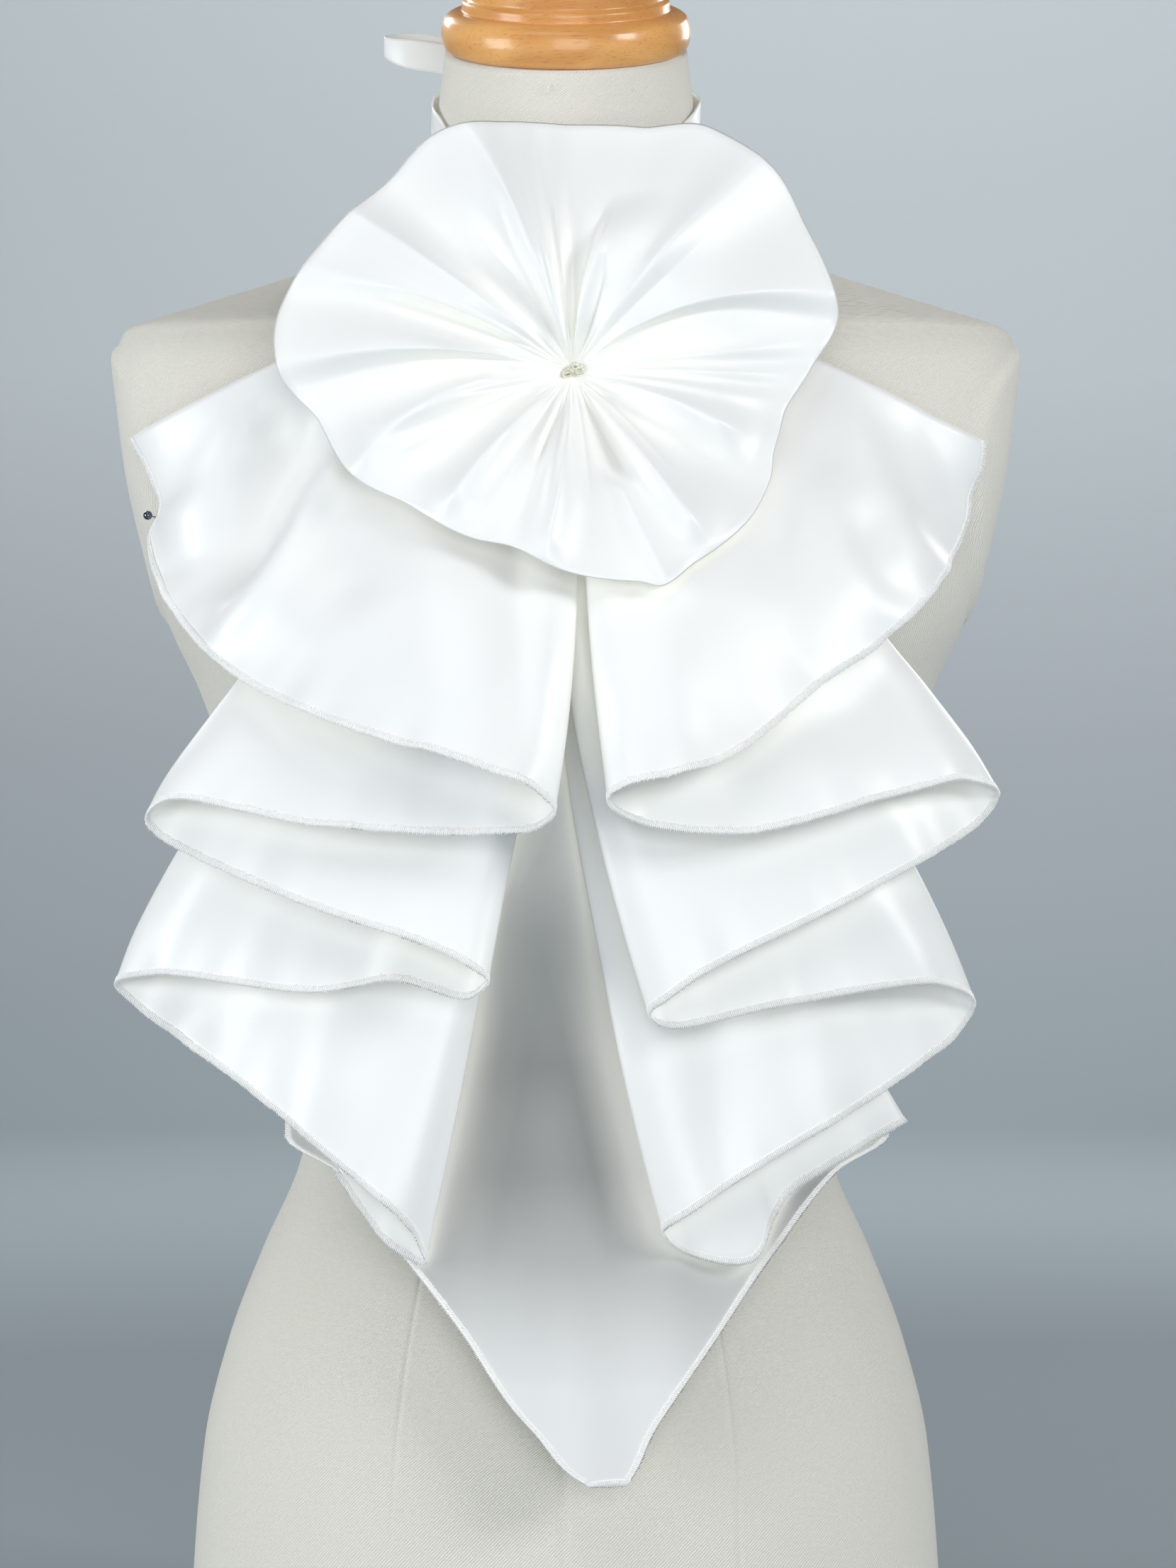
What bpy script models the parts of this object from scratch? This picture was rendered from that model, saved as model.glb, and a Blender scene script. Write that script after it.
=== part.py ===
"""A satin jabot collar with a gathered rosette, worn on a limbless dress form.

Metres, +Z up, the front of the form looks towards -Y. The origin is the centre of
the base's underside. Every piece of cloth is a closed wall worked out from its cut:
a fold table gives the folds in order along a hem, and the wall is swept between the
hem and the line where the cloth is gathered.
"""

import math
from collections import namedtuple

import bpy
import bmesh
import numpy as np

# Driving sizes
SEAM_GAP = 0.0003
SATIN_WALL = 0.0014
ROSETTE_WALL = 0.0026
RIBBON_WALL = 0.0010
RIBBON_WIDTH = 0.014
BUST_HEIGHT = 0.440
BASE_HEIGHT = 0.015

# The line that cloth hangs on: how far it clears the chest, how far it leans back for
# each metre below the bust, how far it falls back at a distance to the side, and how
# softly the chest turns into the plumb line
DRAPE_CLEARANCE = 0.0009
DRAPE_LEAN = 0.018
DRAPE_SIDE_FALL = 0.022
DRAPE_SIDE_REACH = 0.120
DRAPE_BLEND = 0.008
DRAPE_BUST_EASING = 0.040

# Body of the dress form, a row per level from the base to the neck.
# lean is how much a level rises for each metre towards the back.
Section = namedtuple("Section", "height half_width front back squareness lean")
BODY = [
    Section(0.0153, 0.163, 0.106, 0.122, 2.3, 0.0),
    Section(0.060, 0.161, 0.106, 0.121, 2.3, 0.0),
    Section(0.118, 0.156, 0.104, 0.118, 2.3, 0.0),
    Section(0.160, 0.146, 0.101, 0.112, 2.3, 0.0),
    Section(0.200, 0.131, 0.095, 0.102, 2.3, 0.0),
    Section(0.237, 0.115, 0.086, 0.088, 2.3, 0.0),
    Section(0.268, 0.109, 0.080, 0.078, 2.3, 0.0),
    Section(0.300, 0.112, 0.080, 0.076, 2.3, 0.0),
    Section(0.340, 0.121, 0.090, 0.080, 2.3, 0.0),
    Section(0.380, 0.135, 0.105, 0.088, 2.3, 0.0),
    Section(0.410, 0.147, 0.116, 0.094, 2.3, 0.0),
    Section(0.440, 0.158, 0.121, 0.098, 2.35, 0.0),
    Section(0.471, 0.172, 0.118, 0.101, 2.6, 0.0),
    Section(0.500, 0.180, 0.108, 0.102, 2.8, 0.0),
    Section(0.536, 0.188, 0.093, 0.098, 3.0, 0.0),
    Section(0.565, 0.192, 0.080, 0.092, 3.0, 0.0),
    Section(0.583, 0.194, 0.072, 0.086, 3.0, 0.0),
    Section(0.594, 0.191, 0.067, 0.080, 2.9, 0.0),
    Section(0.604, 0.165, 0.064, 0.074, 2.6, 0.0),
    Section(0.612, 0.140, 0.061, 0.068, 2.4, 0.0),
    Section(0.619, 0.118, 0.059, 0.063, 2.3, 0.0),
    Section(0.630, 0.088, 0.057, 0.058, 2.2, 0.0),
    Section(0.641, 0.064, 0.056, 0.055, 2.1, 0.0),
    Section(0.655, 0.0575, 0.0555, 0.053, 2.0, 0.0),
    Section(0.690, 0.0555, 0.057, 0.050, 2.0, 0.20),
    Section(0.718, 0.0525, 0.058, 0.046, 2.0, 0.325),
]
BODY_SIDES = 36
NECK_ROWS = 8

# Turned cap on the neck: radius at each height along its own leaning axis
CapStep = namedtuple("CapStep", "radius height")
CAP = [
    CapStep(0.0490, 0.0000),
    CapStep(0.0525, 0.0025),
    CapStep(0.0540, 0.0085),
    CapStep(0.0525, 0.0150),
    CapStep(0.0480, 0.0180),
    CapStep(0.0450, 0.0185),
    CapStep(0.0448, 0.0220),
    CapStep(0.0425, 0.0240),
    CapStep(0.0428, 0.0300),
    CapStep(0.0420, 0.0380),
    CapStep(0.0360, 0.0500),
    CapStep(0.0240, 0.0575),
    CapStep(0.0120, 0.0600),
    CapStep(0.0095, 0.0630),
    CapStep(0.0120, 0.0680),
    CapStep(0.0125, 0.0720),
    CapStep(0.0095, 0.0765),
    CapStep(0.0045, 0.0785),
]
CAP_LEAN = math.atan(0.325)
CAP_CENTRE_Y = -0.006
CAP_SIDES = 36

# Cascade folds in order along the hem, from the shoulder edge of the front tier to the
# free end of the back tier. x, z and lift place the hem, and lift is how far the cloth
# stands off the hanging line; top_* place the gathered end, and bow bends the fold
# sideways between them.
Fold = namedtuple("Fold", "x z lift top_x top_z top_lift bow")
LEFT_FOLDS = [
    Fold(-0.1827, 0.5445, 0.022, -0.0200, 0.6200, 0.0225, 0.0),
    Fold(-0.1689, 0.5180, 0.012, -0.0160, 0.6030, 0.0225, 0.0),
    Fold(-0.1731, 0.4980, 0.017, -0.0125, 0.5900, 0.0225, -0.006),
    Fold(-0.1630, 0.4740, 0.030, -0.0085, 0.5790, 0.0225, -0.010),
    Fold(-0.1327, 0.4440, 0.050, -0.0060, 0.5700, 0.0225, -0.010),
    Fold(-0.0831, 0.4216, 0.068, -0.0036, 0.5640, 0.0225, -0.006),
    Fold(-0.0363, 0.4076, 0.076, -0.0022, 0.5622, 0.0225, 0.002),
    Fold(-0.0118, 0.3985, 0.075, -0.0004, 0.5610, 0.0225, 0.009),
    Fold(-0.0037, 0.3899, 0.068, 0.0004, 0.5605, 0.0205, 0.0130),
    Fold(-0.0110, 0.3825, 0.060, -0.0004, 0.5600, 0.0185, 0.011),
    Fold(-0.0305, 0.3806, 0.059, -0.0040, 0.5580, 0.0185, 0.006),
    Fold(-0.0992, 0.3839, 0.059, -0.0160, 0.5530, 0.0185, -0.010),
    Fold(-0.1573, 0.3931, 0.058, -0.0240, 0.5510, 0.0185, -0.022),
    Fold(-0.1695, 0.3857, 0.053, -0.0260, 0.5500, 0.0165, -0.025),
    Fold(-0.1633, 0.3784, 0.048, -0.0240, 0.5480, 0.0145, -0.023),
    Fold(-0.1063, 0.3531, 0.048, -0.0170, 0.5240, 0.0145, -0.012),
    Fold(-0.0495, 0.3341, 0.047, -0.0080, 0.4850, 0.0145, 0.0),
    Fold(-0.0365, 0.3270, 0.046, -0.0050, 0.4740, 0.0145, 0.0),
    Fold(-0.0304, 0.3206, 0.041, -0.0020, 0.4700, 0.0125, 0.0),
    Fold(-0.0380, 0.3145, 0.036, -0.0050, 0.4700, 0.0105, 0.0),
    Fold(-0.0689, 0.3216, 0.036, -0.0120, 0.4880, 0.0105, -0.004),
    Fold(-0.1007, 0.3165, 0.036, -0.0180, 0.5050, 0.0105, -0.012),
    Fold(-0.1663, 0.3223, 0.036, -0.0280, 0.5280, 0.0105, -0.030),
    Fold(-0.1847, 0.3174, 0.030, -0.0300, 0.5300, 0.0085, -0.034),
    Fold(-0.1771, 0.3089, 0.024, -0.0280, 0.5270, 0.0065, -0.031),
    Fold(-0.1243, 0.2725, 0.024, -0.0210, 0.4950, 0.0065, -0.017),
    Fold(-0.0823, 0.2386, 0.024, -0.0130, 0.4520, 0.0065, -0.003),
    Fold(-0.0660, 0.2250, 0.023, -0.0090, 0.4420, 0.0065, 0.0),
    Fold(-0.0602, 0.2169, 0.017, -0.0060, 0.4390, 0.0050, 0.0),
    Fold(-0.0570, 0.2055, 0.012, -0.0090, 0.4400, 0.0032, 0.0),
    Fold(-0.0720, 0.2135, 0.012, -0.0130, 0.4440, 0.0032, 0.0),
    Fold(-0.0926, 0.2405, 0.012, -0.0170, 0.4480, 0.0032, 0.0),
]
RIGHT_FOLDS = [
    Fold(0.1758, 0.5424, 0.018, 0.0240, 0.6120, 0.0225, 0.0),
    Fold(0.1730, 0.5276, 0.016, 0.0210, 0.6000, 0.0225, 0.0),
    Fold(0.1636, 0.5005, 0.022, 0.0180, 0.5880, 0.0225, 0.006),
    Fold(0.1452, 0.4734, 0.046, 0.0148, 0.5780, 0.0225, 0.010),
    Fold(0.1238, 0.4540, 0.051, 0.0124, 0.5700, 0.0225, 0.010),
    Fold(0.1035, 0.4407, 0.058, 0.0106, 0.5658, 0.0225, 0.008),
    Fold(0.0679, 0.4123, 0.070, 0.0096, 0.5632, 0.0225, 0.005),
    Fold(0.0462, 0.4046, 0.075, 0.0086, 0.5620, 0.0225, 0.002),
    Fold(0.0250, 0.4000, 0.075, 0.0070, 0.5610, 0.0225, -0.003),
    Fold(0.0181, 0.3945, 0.068, 0.0062, 0.5605, 0.0205, -0.0065),
    Fold(0.0240, 0.3868, 0.060, 0.0070, 0.5600, 0.0185, -0.005),
    Fold(0.0713, 0.3808, 0.060, 0.0150, 0.5570, 0.0185, 0.004),
    Fold(0.1346, 0.3962, 0.059, 0.0260, 0.5530, 0.0185, 0.017),
    Fold(0.1633, 0.4015, 0.058, 0.0300, 0.5510, 0.0185, 0.025),
    Fold(0.1754, 0.3960, 0.053, 0.0320, 0.5500, 0.0165, 0.028),
    Fold(0.1699, 0.3857, 0.048, 0.0300, 0.5480, 0.0145, 0.025),
    Fold(0.1193, 0.3561, 0.048, 0.0230, 0.5240, 0.0145, 0.013),
    Fold(0.0562, 0.3254, 0.047, 0.0140, 0.4650, 0.0145, 0.0),
    Fold(0.0420, 0.3155, 0.046, 0.0110, 0.4450, 0.0145, -0.002),
    Fold(0.0338, 0.3087, 0.041, 0.0085, 0.4400, 0.0125, -0.003),
    Fold(0.0415, 0.3030, 0.036, 0.0110, 0.4420, 0.0105, -0.002),
    Fold(0.0881, 0.3114, 0.036, 0.0200, 0.4880, 0.0105, 0.006),
    Fold(0.1528, 0.3185, 0.036, 0.0290, 0.5180, 0.0105, 0.024),
    Fold(0.1677, 0.3108, 0.030, 0.0320, 0.5210, 0.0085, 0.028),
    Fold(0.1620, 0.2987, 0.024, 0.0300, 0.5180, 0.0065, 0.025),
    Fold(0.1373, 0.2802, 0.024, 0.0250, 0.4950, 0.0065, 0.016),
    Fold(0.0727, 0.2420, 0.024, 0.0130, 0.4480, 0.0065, 0.0),
    Fold(0.0490, 0.2265, 0.023, 0.0070, 0.4310, 0.0065, 0.0),
    Fold(0.0395, 0.2190, 0.017, 0.0040, 0.4290, 0.0050, -0.003),
    Fold(0.0476, 0.2110, 0.012, 0.0070, 0.4300, 0.0032, 0.0),
    Fold(0.0764, 0.2064, 0.012, 0.0130, 0.4340, 0.0032, 0.0),
    Fold(0.0892, 0.2310, 0.012, 0.0180, 0.4380, 0.0032, 0.0),
    Fold(0.1152, 0.2479, 0.012, 0.0240, 0.4430, 0.0032, 0.0),
    Fold(0.1399, 0.2616, 0.012, 0.0300, 0.4480, 0.0032, 0.0),
]
# Longest step along a hem, the fewest and most steps between two rows, how fast the
# cloth leaves the body towards its hem, and the levels from the hem to the gathers
CASCADE_STEP = 0.019
CASCADE_FEWEST = 2
CASCADE_MOST = 4
CASCADE_FLARE = 1.35
CASCADE_LEVELS = [0.0, 0.16, 0.36, 0.58, 0.80, 1.0]

# Under panel, a row per level from its point up to the neck: its two edges and how far
# its back stands off the hanging line
PanelRow = namedtuple("PanelRow", "height left right lift")
PANEL = [
    PanelRow(0.1165, 0.0100, 0.0250, 0.0080),
    PanelRow(0.1235, 0.0000, 0.0295, 0.0078),
    PanelRow(0.1360, -0.0105, 0.0350, 0.0073),
    PanelRow(0.1486, -0.0223, 0.0430, 0.0068),
    PanelRow(0.1770, -0.0415, 0.0630, 0.0058),
    PanelRow(0.2090, -0.0660, 0.0852, 0.0048),
    PanelRow(0.2420, -0.0925, 0.1110, 0.0040),
    PanelRow(0.2560, -0.1140, 0.1330, 0.0038),
    PanelRow(0.2800, -0.1120, 0.1300, 0.0032),
    PanelRow(0.3300, -0.1060, 0.1220, 0.0022),
    PanelRow(0.3800, -0.0980, 0.1110, 0.0012),
    PanelRow(0.4100, -0.0920, 0.1030, 0.0006),
    PanelRow(0.4260, -0.0880, 0.0980, 0.0003),
    PanelRow(0.4400, -0.0840, 0.0930, 0.0),
    PanelRow(0.4550, -0.0800, 0.0880, 0.0),
    PanelRow(0.4710, -0.0760, 0.0830, 0.0),
    PanelRow(0.4860, -0.0720, 0.0780, 0.0),
    PanelRow(0.5000, -0.0680, 0.0740, 0.0),
    PanelRow(0.5180, -0.0630, 0.0690, 0.0),
    PanelRow(0.5360, -0.0580, 0.0630, 0.0),
    PanelRow(0.5650, -0.0470, 0.0510, 0.0),
    PanelRow(0.5830, -0.0400, 0.0430, 0.0),
    PanelRow(0.6040, -0.0300, 0.0330, 0.0),
    PanelRow(0.6190, -0.0230, 0.0260, 0.0),
    PanelRow(0.6350, -0.0180, 0.0200, 0.0),
    PanelRow(0.6470, -0.0150, 0.0170, 0.0),
]
PANEL_COLUMNS = 11

# Rosette: rim radius at angles turning from the wearer's left (+X) over the top
RimPoint = namedtuple("RimPoint", "angle radius")
ROSETTE_RIM = [
    RimPoint(0, 0.0966),
    RimPoint(13, 0.1111),
    RimPoint(31, 0.1126),
    RimPoint(46, 0.1176),
    RimPoint(61, 0.1169),
    RimPoint(75, 0.1065),
    RimPoint(90, 0.1039),
    RimPoint(103, 0.1073),
    RimPoint(120, 0.1140),
    RimPoint(134, 0.1100),
    RimPoint(151, 0.1147),
    RimPoint(171, 0.1220),
    RimPoint(180, 0.1192),
    RimPoint(192, 0.1045),
    RimPoint(205, 0.0997),
    RimPoint(222, 0.0860),
    RimPoint(241, 0.0810),
    RimPoint(252, 0.0781),
    RimPoint(268, 0.0843),
    RimPoint(287, 0.0925),
    RimPoint(292, 0.0970),
    RimPoint(302, 0.0941),
    RimPoint(317, 0.0944),
    RimPoint(330, 0.0917),
    RimPoint(338, 0.0880),
    RimPoint(347, 0.0875),
]
# Rosette folds: the angle near the centre and at the rim, the height out of the cloth
# (less than nothing is a valley), the spread to each side, where it starts and ends as
# a share of the radius, and lap: 0 for a round fold, 1 or -1 for a petal that laps over
# its neighbour on the side of growing or shrinking angles.
Petal = namedtuple("Petal", "near rim height spread start end lap")
PETALS = [
    Petal(38, 13, 0.0090, 26, 0.08, 1.30, 1),
    Petal(56, 49, 0.0080, 9, 0.10, 1.30, 0),
    Petal(88, 73, 0.0100, 20, 0.05, 0.62, -1),
    Petal(97, 96, -0.0100, 6, 0.02, 0.38, 0),
    Petal(104, 113, 0.0110, 9, 0.05, 1.30, 0),
    Petal(130, 134, -0.0120, 9, 0.10, 0.68, 0),
    Petal(141, 144, 0.0070, 6, 0.10, 1.30, 0),
    Petal(149, 162, 0.0070, 15, 0.12, 1.30, -1),
    Petal(169, 182, 0.0085, 15, 0.12, 1.30, -1),
    Petal(178, 206, 0.0070, 8, 0.20, 1.10, 0),
    Petal(210, 217, -0.0050, 6, 0.10, 0.90, 0),
    Petal(222, 230, 0.0080, 9, 0.15, 1.05, 0),
    Petal(253, 250, -0.0090, 5, 0.06, 0.50, 0),
    Petal(268, 262, 0.0070, 7, 0.10, 1.10, 0),
    Petal(291, 293, -0.0085, 6, 0.10, 0.52, 0),
    Petal(289, 293, 0.0060, 6, 0.45, 1.30, 0),
    Petal(308, 307, 0.0100, 7, 0.08, 1.05, 0),
    Petal(320, 327, -0.0105, 10, 0.10, 1.15, 0),
    Petal(344, 337, 0.0050, 8, 0.15, 0.90, 0),
    Petal(357, 356, -0.0050, 7, 0.06, 0.30, 0),
]
# Shares of the radius over which a fold grows out of the gathers, opens and closes, and
# the half angle over which a lapping edge drops
PETAL_GATHER = 0.45
PETAL_OPENING = 0.14
PETAL_CLOSING = 0.25
PETAL_EDGE = 2.5
# Place and depths of the rosette: its centre and rim off the body's middle plane, how the
# rim leans with the chest, the puff between them, the pit at the gathers, and the stub
# behind it that is sewn through
ROSETTE_CENTRE_X = 0.0031
ROSETTE_CENTRE_Z = 0.5685
ROSETTE_CENTRE_DEPTH = 0.120
ROSETTE_RIM_DEPTH = 0.118
ROSETTE_RIM_RISE = 0.0420
ROSETTE_RIM_BEND = 0.0125
ROSETTE_FALL_POWER = 1.2
ROSETTE_PUFF = 0.010
ROSETTE_PUFF_POWER = 1.5
ROSETTE_PIT = 0.008
ROSETTE_PIT_SHARE = 0.13
ROSETTE_SHANK = 0.0104
ROSETTE_SHANK_RADIUS = 0.013
ROSETTE_SHANK_POWER = 8
ROSETTE_SPOKES = 84
ROSETTE_RINGS = [0.05, 0.12, 0.21, 0.32, 0.45, 0.58, 0.72, 0.86, 0.95, 1.0]

# Neck ribbon, a row per point round the neck: angle from the form's left side over the
# nape, height, and how slack the ribbon stands off the skin
RibbonPoint = namedtuple("RibbonPoint", "angle height slack")
NECK_RIBBON = [
    RibbonPoint(0, 0.690, 0.0015),
    RibbonPoint(45, 0.705, 0.0006),
    RibbonPoint(90, 0.713, 0.0006),
    RibbonPoint(135, 0.705, 0.0006),
    RibbonPoint(180, 0.689, 0.0015),
    RibbonPoint(200, 0.679, 0.0065),
    RibbonPoint(216, 0.668, 0.0100),
    RibbonPoint(235, 0.654, 0.0080),
    RibbonPoint(253, 0.643, 0.0040),
    RibbonPoint(270, 0.640, 0.0028),
    RibbonPoint(287, 0.643, 0.0040),
    RibbonPoint(308, 0.656, 0.0070),
    RibbonPoint(332, 0.676, 0.0060),
]
NECK_RIBBON_STEPS = 52

# Bow at the nape: the knot's centre, its half sizes, the turns from end to end that its
# rings stand at, and the run of points that each strip of ribbon follows
StripPoint = namedtuple("StripPoint", "x y z")
KNOT_CENTRE = StripPoint(0.0, 0.0568, 0.7130)
KNOT_HALF = StripPoint(0.0085, 0.0065, 0.0090)
KNOT_TURNS = [-68, -40, -12, 12, 40, 68]
KNOT_SIDES = 16
BOW_LOOP_LEFT = [
    StripPoint(-0.0104, 0.0588, 0.7150),
    StripPoint(-0.0300, 0.0663, 0.7205),
    StripPoint(-0.0550, 0.0703, 0.7260),
    StripPoint(-0.0740, 0.0678, 0.7290),
    StripPoint(-0.0810, 0.0613, 0.7290),
    StripPoint(-0.0740, 0.0548, 0.7275),
    StripPoint(-0.0550, 0.0523, 0.7240),
    StripPoint(-0.0300, 0.0528, 0.7180),
    StripPoint(-0.0104, 0.0551, 0.7130),
]
BOW_LOOP_RIGHT = [
    StripPoint(0.0104, 0.0588, 0.7165),
    StripPoint(0.0260, 0.0663, 0.7140),
    StripPoint(0.0400, 0.0693, 0.7075),
    StripPoint(0.0495, 0.0668, 0.7040),
    StripPoint(0.0525, 0.0618, 0.7030),
    StripPoint(0.0485, 0.0573, 0.7035),
    StripPoint(0.0390, 0.0553, 0.7060),
    StripPoint(0.0260, 0.0543, 0.7125),
    StripPoint(0.0104, 0.0551, 0.7155),
]
TAIL_LEFT = [
    StripPoint(-0.0078, 0.0573, 0.7040),
    StripPoint(-0.0095, 0.0618, 0.6930),
    StripPoint(-0.0180, 0.0663, 0.6770),
    StripPoint(-0.0270, 0.0703, 0.6600),
    StripPoint(-0.0320, 0.0753, 0.6300),
    StripPoint(-0.0340, 0.0813, 0.6000),
    StripPoint(-0.0350, 0.0883, 0.5800),
]
TAIL_RIGHT = [
    StripPoint(0.0078, 0.0573, 0.7040),
    StripPoint(0.0090, 0.0618, 0.6930),
    StripPoint(0.0150, 0.0663, 0.6770),
    StripPoint(0.0210, 0.0703, 0.6600),
    StripPoint(0.0240, 0.0753, 0.6350),
    StripPoint(0.0260, 0.0793, 0.6150),
    StripPoint(0.0270, 0.0833, 0.6020),
]
STRIP_STEPS = 3

# Base plate
BASE_HALF_WIDTH = 0.158
BASE_FRONT = 0.101
BASE_BACK = 0.117
BASE_EDGE = 0.003

SATIN = ("satin", (0.90, 0.91, 0.92, 1.0), 0.38)
LINEN = ("linen", (0.86, 0.82, 0.74, 1.0), 0.85)
BEECH = ("beech", (0.62, 0.36, 0.14, 1.0), 0.35)


def clear_scene():
    """Remove what a new file holds."""
    for thing in list(bpy.data.objects):
        bpy.data.objects.remove(thing, do_unlink=True)


def make_material(piece_name, finish):
    """Give a piece its own plain material."""
    name, colour, roughness = finish
    material = bpy.data.materials.new(piece_name + "_" + name)
    material.use_nodes = True
    shader = material.node_tree.nodes["Principled BSDF"]
    shader.inputs["Base Color"].default_value = colour
    shader.inputs["Roughness"].default_value = roughness
    shader.inputs["Metallic"].default_value = 0.0
    return material


def add_body(name, points, faces, finish):
    """Make one closed, outward facing, smooth shaded object."""
    mesh = bpy.data.meshes.new(name)
    mesh.from_pydata([tuple(point) for point in points], [], faces)
    body = bmesh.new()
    body.from_mesh(mesh)
    bmesh.ops.recalc_face_normals(body, faces=body.faces)
    if body.calc_volume(signed=True) < 0.0:
        bmesh.ops.reverse_faces(body, faces=body.faces)
    bmesh.ops.triangulate(body, faces=body.faces)
    body.to_mesh(mesh)
    body.free()
    mesh.shade_smooth()
    thing = bpy.data.objects.new(name, mesh)
    thing.data.materials.append(make_material(name, finish))
    bpy.context.scene.collection.objects.link(thing)
    return thing


def smooth_step(low, high, value):
    """Rise from 0 to 1 between low and high, level at both ends."""
    share = np.clip((value - low) / (high - low), 0.0, 1.0)
    return share * share * (3.0 - 2.0 * share)


def signed_power(value, power):
    """Raise the size of a number to a power and keep its sign."""
    return np.sign(value) * np.abs(value) ** power


def through_points(rows, steps):
    """Read a smooth open curve through rows, with a number of steps on each span.

    rows is an array with a row per point, and its first three columns set the spacing.
    steps holds the number of pieces for each span.
    """
    rows = np.asarray(rows, dtype=float)
    ahead = 2.0 * rows[-1] - rows[-2]
    behind = 2.0 * rows[0] - rows[1]
    padded = np.vstack([behind, rows, ahead])
    gaps = np.sqrt(np.linalg.norm(np.diff(padded[:, :3], axis=0), axis=1)) + 1e-9
    knots = np.concatenate([[0.0], np.cumsum(gaps)])
    curve = []
    for span, count in enumerate(steps):
        p0, p1, p2, p3 = padded[span:span + 4]
        t0, t1, t2, t3 = knots[span:span + 4]
        for step in range(count):
            t = t1 + (t2 - t1) * step / count
            a1 = (t1 - t) / (t1 - t0) * p0 + (t - t0) / (t1 - t0) * p1
            a2 = (t2 - t) / (t2 - t1) * p1 + (t - t1) / (t2 - t1) * p2
            a3 = (t3 - t) / (t3 - t2) * p2 + (t - t2) / (t3 - t2) * p3
            b1 = (t2 - t) / (t2 - t0) * a1 + (t - t0) / (t2 - t0) * a2
            b2 = (t3 - t) / (t3 - t1) * a2 + (t - t1) / (t3 - t1) * a3
            curve.append((t2 - t) / (t2 - t1) * b1 + (t - t1) / (t2 - t1) * b2)
    curve.append(rows[-1])
    return np.array(curve)


def body_value(field, height):
    """Read one column of the body table at a height."""
    heights = [row.height for row in BODY]
    values = [getattr(row, field) for row in BODY]
    return float(np.interp(height, heights, values))


def body_front(x, height):
    """Depth of the body's front at a place across it."""
    half_width = body_value("half_width", height)
    power = body_value("squareness", height)
    across = min(abs(x) / half_width, 0.999)
    return body_value("front", height) * (1.0 - across ** power) ** (1.0 / power)


def hanging_depth(x, height):
    """Depth of the line that cloth hangs on: the chest down to the bust, then a plumb line."""
    chest = body_front(x, height) + DRAPE_CLEARANCE
    if height > BUST_HEIGHT:
        plumb = body_value("front", height) + DRAPE_CLEARANCE
    else:
        bust_depth = body_value("front", BUST_HEIGHT) + DRAPE_CLEARANCE
        plumb = bust_depth - DRAPE_LEAN * (BUST_HEIGHT - height)
    easing = float(smooth_step(BUST_HEIGHT - DRAPE_BUST_EASING, BUST_HEIGHT, height))
    plumb -= DRAPE_BLEND * easing
    plumb -= DRAPE_SIDE_FALL * (x / DRAPE_SIDE_REACH) ** 2
    near = max(DRAPE_BLEND - abs(chest - plumb), 0.0) / DRAPE_BLEND
    return max(chest, plumb) + near * near * DRAPE_BLEND / 4.0


def body_ring(row, sides):
    """Points round one level of the body."""
    angles = np.linspace(0.0, 2.0 * math.pi, sides, endpoint=False)
    power = 2.0 / row.squareness
    x = row.half_width * signed_power(np.cos(angles), power)
    reach = np.where(np.sin(angles) > 0.0, row.back, row.front)
    y = reach * signed_power(np.sin(angles), power)
    return np.stack([x, y, row.height + row.lean * y], axis=1)


def loft_rings(name, rings, finish):
    """Join rings of points into one closed body with flat ends."""
    sides = len(rings[0])
    points = np.vstack(rings)
    faces = []
    for level in range(len(rings) - 1):
        for side in range(sides):
            here = level * sides + side
            beside = level * sides + (side + 1) % sides
            faces.append((here, beside, beside + sides, here + sides))
    last = (len(rings) - 1) * sides
    faces.append(tuple(reversed(range(sides))))
    faces.append(tuple(range(last, last + sides)))
    return add_body(name, points, faces, finish)


def grid_normals(grid, wrap):
    """Unit normals of a grid of points, from its neighbours each way."""
    if wrap:
        along = np.roll(grid, -1, axis=0) - np.roll(grid, 1, axis=0)
    else:
        along = np.gradient(grid, axis=0)
    across = np.gradient(grid, axis=1)
    normals = np.cross(along, across)
    sizes = np.linalg.norm(normals, axis=2, keepdims=True)
    return normals / np.maximum(sizes, 1e-12)


def wall_from_grids(name, front, back, wrap, finish):
    """Close the space between two matching grids of points into a wall."""
    rows, columns = front.shape[:2]
    points = np.vstack([front.reshape(-1, 3), back.reshape(-1, 3)])
    shift = rows * columns
    faces = []
    spans = rows if wrap else rows - 1
    for row in range(spans):
        after = (row + 1) % rows
        for column in range(columns - 1):
            a = row * columns + column
            b = after * columns + column
            faces.append((a, b, b + 1, a + 1))
            faces.append((a + shift, a + 1 + shift, b + 1 + shift, b + shift))
        for column in (0, columns - 1):
            a = row * columns + column
            b = after * columns + column
            faces.append((a, a + shift, b + shift, b))
    if not wrap:
        for row in (0, rows - 1):
            for column in range(columns - 1):
                a = row * columns + column
                faces.append((a, a + 1, a + 1 + shift, a + shift))
    return add_body(name, points, faces, finish)


def make_form_torso():
    """Padded body, closed at the base and at the neck."""
    rings = [body_ring(row, BODY_SIDES) for row in BODY]
    return loft_rings("form_torso", rings, LINEN)


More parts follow.
